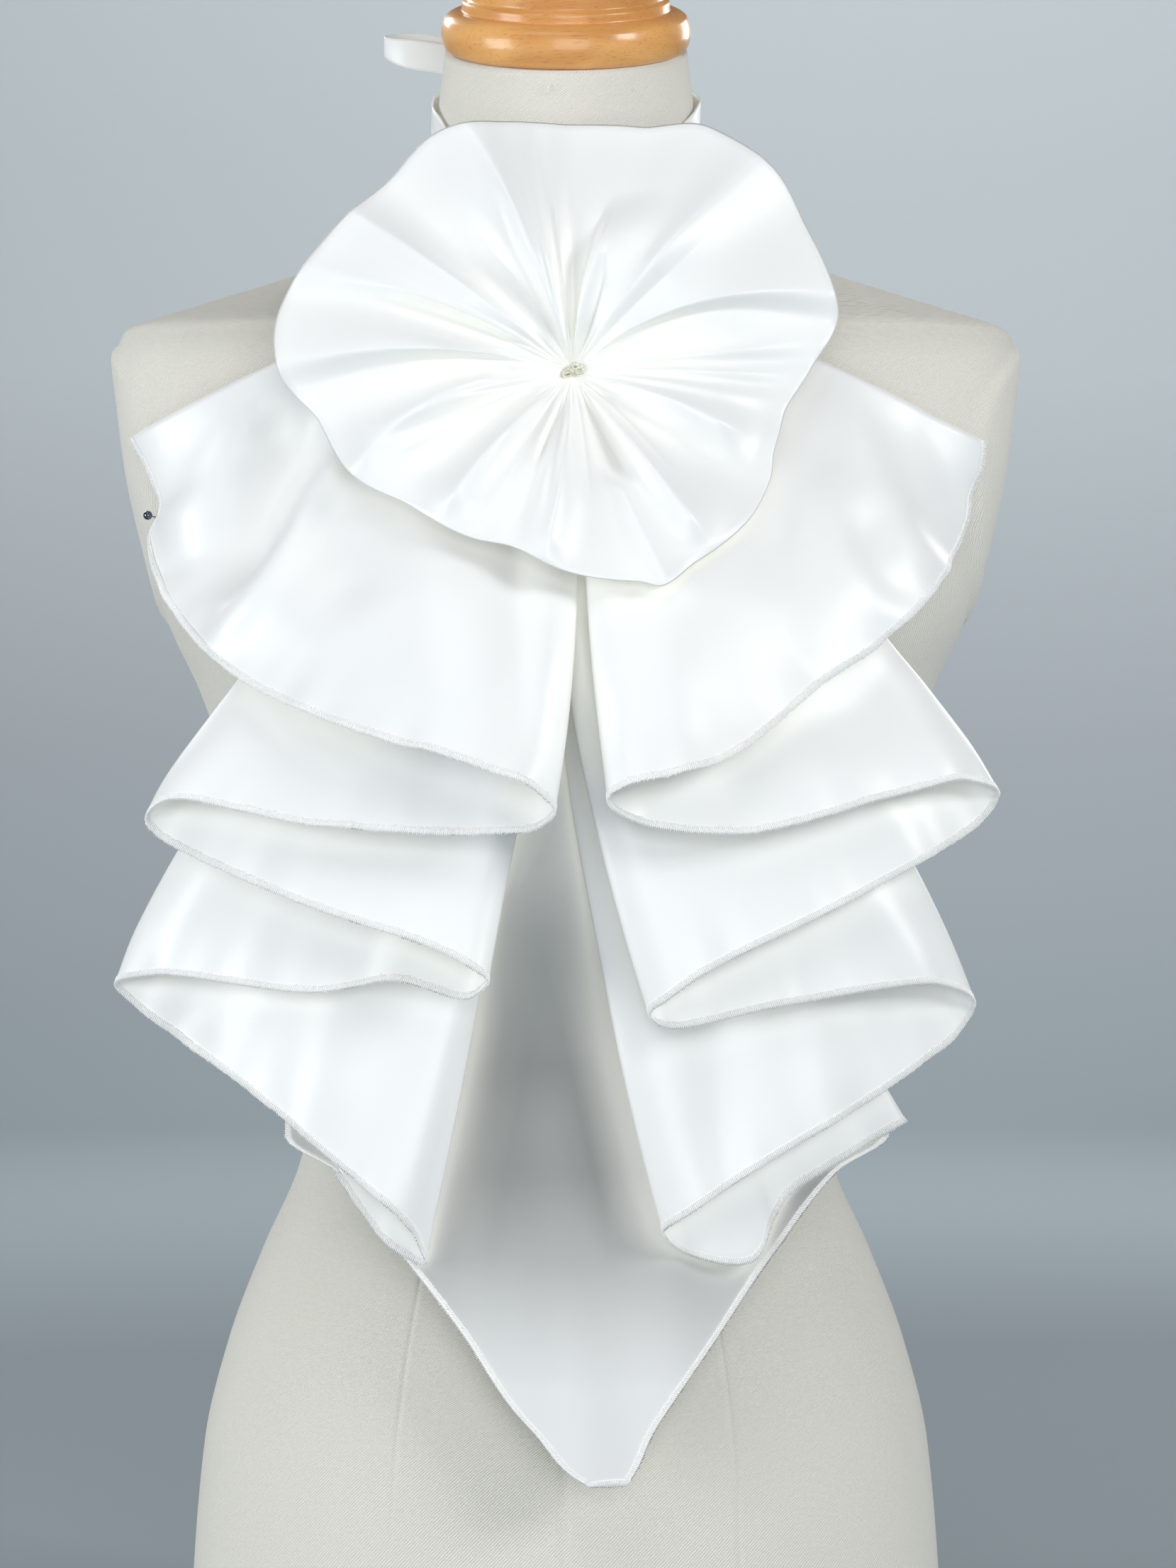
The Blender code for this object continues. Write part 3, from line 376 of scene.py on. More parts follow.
BOW_LOOP_LEFT: tuple[StripPoint, ...] = (
    StripPoint(-0.0104, 0.0588, 0.7150),
    StripPoint(-0.0300, 0.0663, 0.7215),
    StripPoint(-0.0550, 0.0703, 0.7285),
    StripPoint(-0.0740, 0.0678, 0.7315),
    StripPoint(-0.0810, 0.0613, 0.7300),
    StripPoint(-0.0740, 0.0548, 0.7265),
    StripPoint(-0.0550, 0.0523, 0.7230),
    StripPoint(-0.0300, 0.0528, 0.7180),
    StripPoint(-0.0104, 0.0551, 0.7130),
)
BOW_LOOP_RIGHT: tuple[StripPoint, ...] = (
    StripPoint(0.0104, 0.0588, 0.7165),
    StripPoint(0.0260, 0.0663, 0.7140),
    StripPoint(0.0400, 0.0693, 0.7075),
    StripPoint(0.0495, 0.0668, 0.7040),
    StripPoint(0.0525, 0.0618, 0.7030),
    StripPoint(0.0485, 0.0573, 0.7035),
    StripPoint(0.0390, 0.0553, 0.7060),
    StripPoint(0.0260, 0.0543, 0.7125),
    StripPoint(0.0104, 0.0551, 0.7155),
)
TAIL_LEFT: tuple[StripPoint, ...] = (
    StripPoint(-0.0078, 0.0573, 0.7040),
    StripPoint(-0.0095, 0.0618, 0.6930),
    StripPoint(-0.0180, 0.0663, 0.6770),
    StripPoint(-0.0270, 0.0703, 0.6600),
    StripPoint(-0.0320, 0.0753, 0.6300),
    StripPoint(-0.0340, 0.0813, 0.6000),
    StripPoint(-0.0350, 0.0883, 0.5800),
)
TAIL_RIGHT: tuple[StripPoint, ...] = (
    StripPoint(0.0078, 0.0573, 0.7040),
    StripPoint(0.0090, 0.0618, 0.6930),
    StripPoint(0.0150, 0.0663, 0.6770),
    StripPoint(0.0210, 0.0703, 0.6600),
    StripPoint(0.0240, 0.0753, 0.6350),
    StripPoint(0.0260, 0.0793, 0.6150),
    StripPoint(0.0270, 0.0833, 0.6020),
)

# Soft creases that stand on the cascades' main folds
LEFT_CREASES: tuple[Crease, ...] = (
    Crease(-1, 8, -0.104, 0.551, -0.141, 0.484, 0.015, -0.0078),
    Crease(-1, 8, -0.090, 0.538, -0.143, 0.448, 0.008, 0.0034),
    Crease(-1, 8, -0.128, 0.556, -0.163, 0.500, 0.012, 0.0030),
    Crease(-1, 8, -0.103, 0.512, -0.085, 0.472, 0.014, -0.0026),
    Crease(-1, 8, -0.052, 0.510, -0.044, 0.410, 0.018, 0.0018),
    Crease(-1, 8, -0.020, 0.520, -0.017, 0.415, 0.007, -0.0012),
    Crease(9, 13, -0.120, 0.430, -0.165, 0.388, 0.012, -0.0016),
    Crease(9, 13, -0.045, 0.430, -0.052, 0.380, 0.014, 0.0015),
    Crease(13, 17, -0.150, 0.400, -0.172, 0.372, 0.012, 0.0012),
    Crease(19, 23, -0.140, 0.370, -0.176, 0.326, 0.012, -0.0016),
    Crease(19, 23, -0.060, 0.372, -0.090, 0.318, 0.012, 0.0014),
    Crease(24, 28, -0.085, 0.340, -0.098, 0.262, 0.014, 0.0020),
    Crease(24, 28, -0.135, 0.330, -0.150, 0.296, 0.014, -0.0016),
)
RIGHT_CREASES: tuple[Crease, ...] = (
    Crease(-1, 8, 0.108, 0.560, 0.146, 0.478, 0.013, 0.0034),
    Crease(-1, 8, 0.120, 0.510, 0.139, 0.474, 0.010, -0.0030),
    Crease(-1, 8, 0.055, 0.520, 0.040, 0.425, 0.020, 0.0022),
    Crease(-1, 8, 0.085, 0.515, 0.092, 0.440, 0.014, -0.0018),
    Crease(-1, 8, 0.150, 0.556, 0.166, 0.514, 0.010, -0.0014),
    Crease(10, 14, 0.130, 0.440, 0.162, 0.402, 0.012, -0.0014),
    Crease(10, 14, 0.060, 0.425, 0.066, 0.385, 0.014, 0.0015),
    Crease(15, 19, 0.120, 0.400, 0.142, 0.368, 0.012, 0.0014),
    Crease(20, 23, 0.110, 0.370, 0.150, 0.320, 0.012, -0.0016),
    Crease(20, 23, 0.052, 0.370, 0.070, 0.312, 0.012, 0.0013),
    Crease(24, 28, 0.100, 0.345, 0.110, 0.264, 0.013, 0.0018),
    Crease(24, 28, 0.060, 0.330, 0.066, 0.245, 0.012, -0.0014),
)

# Narrow creases out of the rosette's gathers
PINCHES: tuple[Pinch, ...] = (
    Pinch(8, 10, 0.0028, 7.0, 0.24),
    Pinch(27, 25, 0.0024, 4.0, 0.60),
    Pinch(46, 44, 0.0016, 4.0, 0.85),
    Pinch(58, 57, 0.0014, 4.0, 0.75),
    Pinch(66, 75, 0.0032, 3.0, 0.55),
    Pinch(87, 90, 0.0042, 3.0, 0.40),
    Pinch(101, 97, 0.0012, 3.0, 0.55),
    Pinch(117, 124, 0.0022, 3.2, 0.70),
    Pinch(136, 139, 0.0024, 3.0, 0.80),
    Pinch(146, 152, 0.0022, 3.4, 0.80),
    Pinch(161, 157, 0.0018, 3.4, 0.75),
    Pinch(168, 168, 0.0016, 3.2, 0.70),
    Pinch(182, 186, 0.0024, 4.0, 0.75),
    Pinch(193, 194, 0.0018, 3.6, 0.60),
    Pinch(205, 213, 0.0026, 3.4, 0.60),
    Pinch(219, 223, 0.0020, 3.6, 0.85),
    Pinch(239, 240, 0.0022, 2.6, 0.50),
    Pinch(258, 253, 0.0036, 2.8, 0.55),
    Pinch(270, 270, 0.0016, 3.4, 0.80),
    Pinch(280, 278, 0.0018, 3.4, 0.80),
    Pinch(291, 296, 0.0032, 3.0, 0.70),
    Pinch(300, 301, 0.0014, 3.0, 0.80),
    Pinch(316, 313, 0.0034, 2.8, 0.90),
    Pinch(329, 334, 0.0022, 3.6, 0.70),
    Pinch(345, 350, 0.0026, 3.8, 0.35),
)


def smooth_step(low: float, high: float, value: np.ndarray) -> np.ndarray:
    """Rise from 0 to 1 between two values, level at both ends.

    Args:
        low: Where the rise starts.
        high: Where it ends.
        value: The places to read.

    Returns:
        The share of the rise at each place.
    """
    share = np.clip((np.asarray(value, dtype=float) - low) / (high - low), 0.0, 1.0)
    return share * share * (3.0 - 2.0 * share)


def signed_power(value: np.ndarray, power: np.ndarray | float) -> np.ndarray:
    """Raise the size of each number to a power and keep its sign."""
    return np.sign(value) * np.abs(value) ** power


def monotone(places: np.ndarray, values: np.ndarray, at: np.ndarray) -> np.ndarray:
    """Read a smooth curve that doesn't overshoot its rows.

    Args:
        places: Where the rows stand, growing.
        values: The value of each row.
        at: The places to read.

    Returns:
        The curve's value at each place.
    """
    gaps = np.diff(places)
    slopes = np.diff(values) / gaps
    tangents = np.zeros(len(values))
    tangents[0] = slopes[0]
    tangents[-1] = slopes[-1]
    same = slopes[1:] * slopes[:-1] > 0.0
    total = np.where(same, slopes[1:] + slopes[:-1], 1.0)
    tangents[1:-1] = np.where(same, 2.0 * slopes[1:] * slopes[:-1] / total, 0.0)
    at = np.clip(np.asarray(at, dtype=float), places[0], places[-1])
    span = np.clip(np.searchsorted(places, at, side="right") - 1, 0, len(gaps) - 1)
    width = gaps[span]
    t = (at - places[span]) / width
    start = (1.0 + 2.0 * t) * (1.0 - t) ** 2
    leave = t * (1.0 - t) ** 2
    end = t * t * (3.0 - 2.0 * t)
    arrive = t * t * (t - 1.0)
    curve = start * values[span] + end * values[span + 1]
    return curve + width * (leave * tangents[span] + arrive * tangents[span + 1])


def through_points(rows: np.ndarray, steps: Sequence[int]) -> np.ndarray:
    """Read a smooth open curve through rows; the first three columns set its spacing.

    Args:
        rows: A row for each point.
        steps: How many pieces each span between two rows is cut into.

    Returns:
        The rows of the finer curve.
    """
    rows = np.asarray(rows, dtype=float)
    ahead = 2.0 * rows[-1] - rows[-2]
    behind = 2.0 * rows[0] - rows[1]
    padded = np.vstack([behind, rows, ahead])
    gaps = np.sqrt(np.linalg.norm(np.diff(padded[:, :3], axis=0), axis=1)) + 1e-9
    knots = np.concatenate([[0.0], np.cumsum(gaps)])
    curve = []
    for span, count in enumerate(steps):
        p0, p1, p2, p3 = padded[span : span + 4]
        t0, t1, t2, t3 = knots[span : span + 4]
        t = (t1 + (t2 - t1) * np.arange(count) / count)[:, None]
        a1 = (t1 - t) / (t1 - t0) * p0 + (t - t0) / (t1 - t0) * p1
        a2 = (t2 - t) / (t2 - t1) * p1 + (t - t1) / (t2 - t1) * p2
        a3 = (t3 - t) / (t3 - t2) * p2 + (t - t2) / (t3 - t2) * p3
        b1 = (t2 - t) / (t2 - t0) * a1 + (t - t0) / (t2 - t0) * a2
        b2 = (t3 - t) / (t3 - t1) * a2 + (t - t1) / (t3 - t1) * a3
        curve.append((t2 - t) / (t2 - t1) * b1 + (t - t1) / (t2 - t1) * b2)
    curve.append(rows[-1:])
    return np.vstack(curve)


def grid_normals(grid: np.ndarray, wrap: bool) -> np.ndarray:
    """Unit normals of a grid of points.

    Args:
        grid: Points by row and column.
        wrap: Whether the last row joins the first.

    Returns:
        A unit vector for each point.
    """
    if wrap:
        along = np.roll(grid, -1, axis=0) - np.roll(grid, 1, axis=0)
    else:
        along = np.gradient(grid, axis=0)
    normals = np.cross(along, np.gradient(grid, axis=1))
    sizes = np.linalg.norm(normals, axis=2, keepdims=True)
    return normals / np.maximum(sizes, 1e-12)


def path_length(points: np.ndarray) -> np.ndarray:
    """Distance run along a path at each of its points."""
    steps = np.linalg.norm(np.diff(points, axis=0), axis=1)
    return np.concatenate([[0.0], np.cumsum(steps)])


class Recipe:
    """Short way to lay out the nodes of one material."""

    def __init__(self, name: str) -> None:
        """Start a material with a plain shader.

        Args:
            name: The material's name.
        """
        self.material = bpy.data.materials.new(name)
        self.material.use_nodes = True
        self.tree = self.material.node_tree
        self.shader = self.tree.nodes["Principled BSDF"]

    def node(self, kind: str, settings: dict | None = None, **sockets: object) -> bpy.types.Node:
        """Add a node.

        Args:
            kind: The node's type.
            settings: Properties of the node itself.
            **sockets: Values of its inputs, by name with spaces as underscores.

        Returns:
            The node.
        """
        made = self.tree.nodes.new(kind)
        for name, value in (settings or {}).items():
            setattr(made, name, value)
        for name, value in sockets.items():
            made.inputs[name.replace("_", " ")].default_value = value
        return made

    def link(self, source: bpy.types.NodeSocket, node: bpy.types.Node, socket: str | int) -> None:
        """Join an output to an input of a node."""
        self.tree.links.new(source, node.inputs[socket])

    def set(self, **sockets: object) -> None:
        """Set values straight on the shader's sockets."""
        for name, value in sockets.items():
            self.shader.inputs[name.replace("_", " ")].default_value = value

    def places(self, uv: bool, scale: Point, turn: float = 0.0) -> bpy.types.NodeSocket:
        """Coordinates in metres, turned about the third axis and then scaled.

        Args:
            uv: Whether they come from the mesh's own map, and not from its place.
            scale: Factor for each axis.
            turn: Turn in degrees.

        Returns:
            The socket with the coordinates.
        """
        source = self.node("ShaderNodeTexCoord")
        turned = self.node("ShaderNodeMapping", Rotation=(0.0, 0.0, math.radians(turn)))
        scaled = self.node("ShaderNodeMapping", Scale=scale)
        self.link(source.outputs["UV" if uv else "Object"], turned, "Vector")
        self.link(turned.outputs["Vector"], scaled, "Vector")
        return scaled.outputs["Vector"]

    def noise(self, where: bpy.types.NodeSocket, scale: float, detail: float = 2.0) -> bpy.types.NodeSocket:
        """Noise at some coordinates."""
        made = self.node("ShaderNodeTexNoise", Scale=scale, Detail=detail)
        self.link(where, made, "Vector")
        return made.outputs["Fac"]

    def bands(self, where: bpy.types.NodeSocket, scale: float, distortion: float = 0.0) -> bpy.types.NodeSocket:
        """Even bands across the first axis."""
        made = self.node("ShaderNodeTexWave", {"bands_direction": "X"}, Scale=scale, Distortion=distortion)
        made.inputs["Detail"].default_value = 1.0
        made.inputs["Detail Scale"].default_value = 2.0
        self.link(where, made, "Vector")
        return made.outputs["Fac"]

    def ramp(self, value: bpy.types.NodeSocket, stops: Sequence[tuple[float, Colour]]) -> bpy.types.NodeSocket:
        """Turn a value into a colour.

        Args:
            value: The value.
            stops: Places and colours, two or more.

        Returns:
            The colour's socket.
        """
        made = self.node("ShaderNodeValToRGB")
        marks = made.color_ramp.elements
        while len(marks) < len(stops):
            marks.new(0.5)
        for mark, (place, colour) in zip(marks, stops):
            mark.position = place
            mark.color = colour
        self.link(value, made, "Fac")
        return made.outputs["Color"]

    def mix(self, kind: str, share: float, first: bpy.types.NodeSocket, second: bpy.types.NodeSocket) -> bpy.types.NodeSocket:
        """Mix two colours.

        Args:
            kind: How they mix.
            share: How much of the second.
            first: First colour.
            second: Second colour.

        Returns:
            The mixed colour.
        """
        made = self.node("ShaderNodeMix", {"data_type": "RGBA", "blend_type": kind})
        made.inputs[0].default_value = share
        self.tree.links.new(first, made.inputs[6])
        self.tree.links.new(second, made.inputs[7])
        return made.outputs[2]

    def by_height(self, stops: Sequence[tuple[float, Colour]]) -> bpy.types.NodeSocket:
        """Colour that changes with the height.

        Args:
            stops: Heights in metres, from 0 to 1, and colours.

        Returns:
            The colour's socket.
        """
        parts = self.node("ShaderNodeSeparateXYZ")
        self.link(self.places(False, (1.0, 1.0, 1.0)), parts, "Vector")
        return self.ramp(parts.outputs["Z"], stops)

    def paint_fold_light(self, colour: bpy.types.NodeSocket, painted_fold_light: Colour, reach: float, painted_glow: float) -> None:
        """Lay a colour on the surface, with painted light where it lies deep between its neighbours.

        There it turns to a lighter, warmer colour that stands in for light bounced between the folds, and a painted
        glow (emission) is added that stands in for light passed through the thin cloth.

        Args:
            colour: The colour of the open surface.
            painted_fold_light: The painted colour deep in a fold, lighter and warmer, standing in for bounced light.
            reach: How far away a neighbour still counts, in metres.
            painted_glow: Strength of the painted glow (emission) deep in a fold, standing in for light that passes
                through the cloth.
        """
        # Painted light: deep in the folds the colour turns lighter and warmer, and the surface glows.
        near = self.node("ShaderNodeAmbientOcclusion", {"samples": 2}, Distance=reach).outputs["AO"]
        made = self.node("ShaderNodeMix", {"data_type": "RGBA"})
        self.link(self.spread(near, -0.7, 1.3), made, 0)
        made.inputs[6].default_value = painted_fold_light
        self.tree.links.new(colour, made.inputs[7])
        self.link(made.outputs[2], self.shader, "Base Color")
        self.set(Emission_Color=painted_fold_light)
        self.link(self.spread(near, painted_glow, 0.0), self.shader, "Emission Strength")

    def spread(self, value: bpy.types.NodeSocket, low: float, high: float) -> bpy.types.NodeSocket:
        """Map a value from 0 to 1 onto another range."""
        made = self.node("ShaderNodeMapRange")
        made.inputs["To Min"].default_value = low
        made.inputs["To Max"].default_value = high
        self.link(value, made, "Value")
        return made.outputs["Result"]

    def bump(self, height: bpy.types.NodeSocket, strength: float, distance: float, under: bpy.types.NodeSocket | None = None) -> bpy.types.NodeSocket:
        """Raise the surface by a height.

        Args:
            height: The height, from 0 to 1.
            strength: How much of it shows.
            distance: Its depth in metres.
            under: A bump that this one lies on.

        Returns:
            The bumped normal.
        """
        made = self.node("ShaderNodeBump", Strength=strength, Distance=distance)
        self.link(height, made, "Height")
        if under is not None:
            self.link(under, made, "Normal")
        return made.outputs["Normal"]


@dataclass(frozen=True)
class SatinFinish:
    """White satin with a broad soft gloss along its folds."""

    name: str = "white_satin"
    light: Colour = (0.878, 0.892, 0.892, 1.0)
    shade: Colour = (0.850, 0.868, 0.871, 1.0)
    smooth: float = 0.35
    rough: float = 0.43
    weave: float = 900.0
    # Painted light deep in the folds: a lighter, warmer colour, how far it reaches, and the strength of a painted glow
    # (emission).
    painted_fold_light: Colour = (0.945, 0.945, 0.885, 1.0)
    painted_fold_light_reach: float = 0.025
    painted_glow: float = 0.08
    # Heights and colours of a painted shade band, multiplied into the cloth.
    heights: tuple[tuple[float, Colour], ...] = ()

    def make(self) -> bpy.types.Material:
        """Make the material."""
        recipe = Recipe(self.name)
        where = recipe.places(False, (1.0, 1.0, 1.0))
        cloud = recipe.noise(where, 7.0, 3.0)
        cloth = recipe.ramp(cloud, ((0.35, self.shade), (0.65, self.light)))
        # Painted shade by height, where a shade band is given.
        if self.heights:
            cloth = recipe.mix("MULTIPLY", 1.0, cloth, recipe.by_height(self.heights))
        # Painted light in the folds: a lighter, warmer colour and a painted glow.
        recipe.paint_fold_light(cloth, self.painted_fold_light, self.painted_fold_light_reach, self.painted_glow)
        recipe.link(recipe.spread(cloud, self.smooth, self.rough), recipe.shader, "Roughness")
        slub = recipe.noise(recipe.places(False, (14.0, 14.0, 420.0)), 6.0, 2.0)
        ripple = recipe.noise(where, 20.0, 2.0)
        floats = recipe.bands(recipe.places(False, (1.0, 1.0, 1.0), 8.0), self.weave, 1.0)
        low = recipe.bump(ripple, 0.18, 0.0012)
        middle = recipe.bump(slub, 0.10, 0.0001, low)
        recipe.link(recipe.bump(floats, 0.05, 0.00006, middle), recipe.shader, "Normal")
        recipe.set(Sheen_Weight=0.06, Sheen_Roughness=0.45, Specular_IOR_Level=0.55)
        recipe.set(Sheen_Tint=(0.92, 0.95, 1.0, 1.0), IOR=1.5)
        return recipe.material


@dataclass(frozen=True)
class LinenFinish:
    """Cream twill that covers the dress form."""

    name: str = "cream_twill"
    thread: Colour = (0.880, 0.868, 0.822, 1.0)
    groove: Colour = (0.740, 0.724, 0.668, 1.0)
    stain: Colour = (0.905, 0.900, 0.870, 1.0)
    pitch: float = 260.0
    turn: float = 33.0

    def make(self) -> bpy.types.Material:
        """Make the material."""
        recipe = Recipe(self.name)
        slanted = recipe.places(True, (1.0, 1.0, 1.0), self.turn)
        ribs = recipe.bands(slanted, self.pitch, 1.4)
        threads = recipe.noise(recipe.places(True, (900.0, 260.0, 1.0)), 1.6, 2.0)
        fleck = recipe.noise(recipe.places(True, (1.0, 1.0, 1.0)), 900.0, 2.0)
        patch = recipe.noise(recipe.places(False, (1.0, 1.0, 1.0)), 5.0, 3.0)
        weave = recipe.ramp(ribs, ((0.20, self.groove), (0.62, self.thread)))
        flecked = recipe.mix("MULTIPLY", 0.35, weave, recipe.ramp(fleck, ((0.30, self.groove), (0.62, self.stain))))
        worn = recipe.mix("MULTIPLY", 0.30, flecked, recipe.ramp(patch, ((0.30, self.thread), (0.70, self.stain))))
        recipe.link(worn, recipe.shader, "Base Color")
        low = recipe.bump(ribs, 0.55, 0.00030)
        recipe.link(recipe.bump(threads, 0.35, 0.00022, low), recipe.shader, "Normal")
        recipe.set(Roughness=0.88, Sheen_Weight=0.25, Sheen_Roughness=0.6, Specular_IOR_Level=0.25)
        return recipe.material


@dataclass(frozen=True)
class BeechFinish:
    """Turned beech under a clear varnish."""

    name: str = "varnished_beech"
    pale: Colour = (0.860, 0.460, 0.155, 1.0)
    middle: Colour = (0.700, 0.330, 0.095, 1.0)
    dark: Colour = (0.420, 0.165, 0.045, 1.0)

    def make(self) -> bpy.types.Material:
        """Make the material."""
        recipe = Recipe(self.name)
        rings = recipe.bands(recipe.places(False, (1.0, 0.25, 6.0), 0.0), 3.2, 7.0)
        growth = recipe.noise(recipe.places(False, (4.0, 9.0, 40.0)), 3.0, 4.0)
        pores = recipe.noise(recipe.places(False, (60.0, 240.0, 700.0)), 3.0, 2.0)
        body = recipe.ramp(growth, ((0.30, self.middle), (0.68, self.pale)))
        grained = recipe.mix("MULTIPLY", 0.22, body, recipe.ramp(rings, ((0.25, self.dark), (0.60, (1.0, 1.0, 1.0, 1.0)))))
        flecked = recipe.mix("MULTIPLY", 0.35, grained, recipe.ramp(pores, ((0.30, self.dark), (0.42, (1.0, 1.0, 1.0, 1.0)))))
        recipe.link(flecked, recipe.shader, "Base Color")
        recipe.link(recipe.spread(growth, 0.28, 0.42), recipe.shader, "Roughness")
        recipe.link(recipe.bump(pores, 0.12, 0.00008), recipe.shader, "Normal")
        recipe.set(Coat_Weight=0.4, Coat_Roughness=0.14, Specular_IOR_Level=0.4)
        return recipe.material


@dataclass(frozen=True)
class ThreadFinish:
    """Spun thread with a slight gloss."""

    name: str = "white_thread"
    light: Colour = (0.930, 0.935, 0.935, 1.0)
    shade: Colour = (0.860, 0.870, 0.875, 1.0)

    def make(self) -> bpy.types.Material:
        """Make the material."""
        recipe = Recipe(self.name)
        ply = recipe.noise(recipe.places(False, (1.0, 1.0, 1.0)), 1400.0, 2.0)
        recipe.link(recipe.ramp(ply, ((0.30, self.shade), (0.60, self.light))), recipe.shader, "Base Color")
        recipe.link(recipe.bump(ply, 0.4, 0.0001), recipe.shader, "Normal")
        recipe.set(Roughness=0.55, Sheen_Weight=0.3, Sheen_Roughness=0.5)
        return recipe.material


@dataclass(frozen=True)
class SteelFinish:
    """Polished steel of a dressmaker's pin."""

    name: str = "pin_steel"
    bright: Colour = (0.16, 0.19, 0.24, 1.0)
    dull: Colour = (0.08, 0.10, 0.13, 1.0)

    def make(self) -> bpy.types.Material:
        """Make the material."""
        recipe = Recipe(self.name)
        cloud = recipe.noise(recipe.places(False, (1.0, 1.0, 1.0)), 900.0, 2.0)
        recipe.link(recipe.ramp(cloud, ((0.3, self.dull), (0.7, self.bright))), recipe.shader, "Base Color")
        recipe.link(recipe.spread(cloud, 0.10, 0.22), recipe.shader, "Roughness")
        recipe.set(Metallic=1.0)
        return recipe.material


@dataclass(frozen=True)
class StudioFinish:
    """Pale paper of the studio's floor and backdrop, with painted shade and light: darker on the floor and lighter up
    the wall.
    """

    name: str = "studio_paper"
    floor: Colour = (0.335, 0.388, 0.420, 1.0)
    middle: Colour = (0.385, 0.424, 0.452, 1.0)
    top: Colour = (0.500, 0.545, 0.570, 1.0)

    def make(self) -> bpy.types.Material:
        """Make the material."""
        recipe = Recipe(self.name)
        # Painted shade and light: the paper darkens towards the floor and lightens up the wall.
        paper = recipe.by_height(((0.0, self.floor), (0.45, self.middle), (1.0, self.top)))
        recipe.link(paper, recipe.shader, "Base Color")
        recipe.set(Roughness=0.95, Specular_IOR_Level=0.1)
        return recipe.material


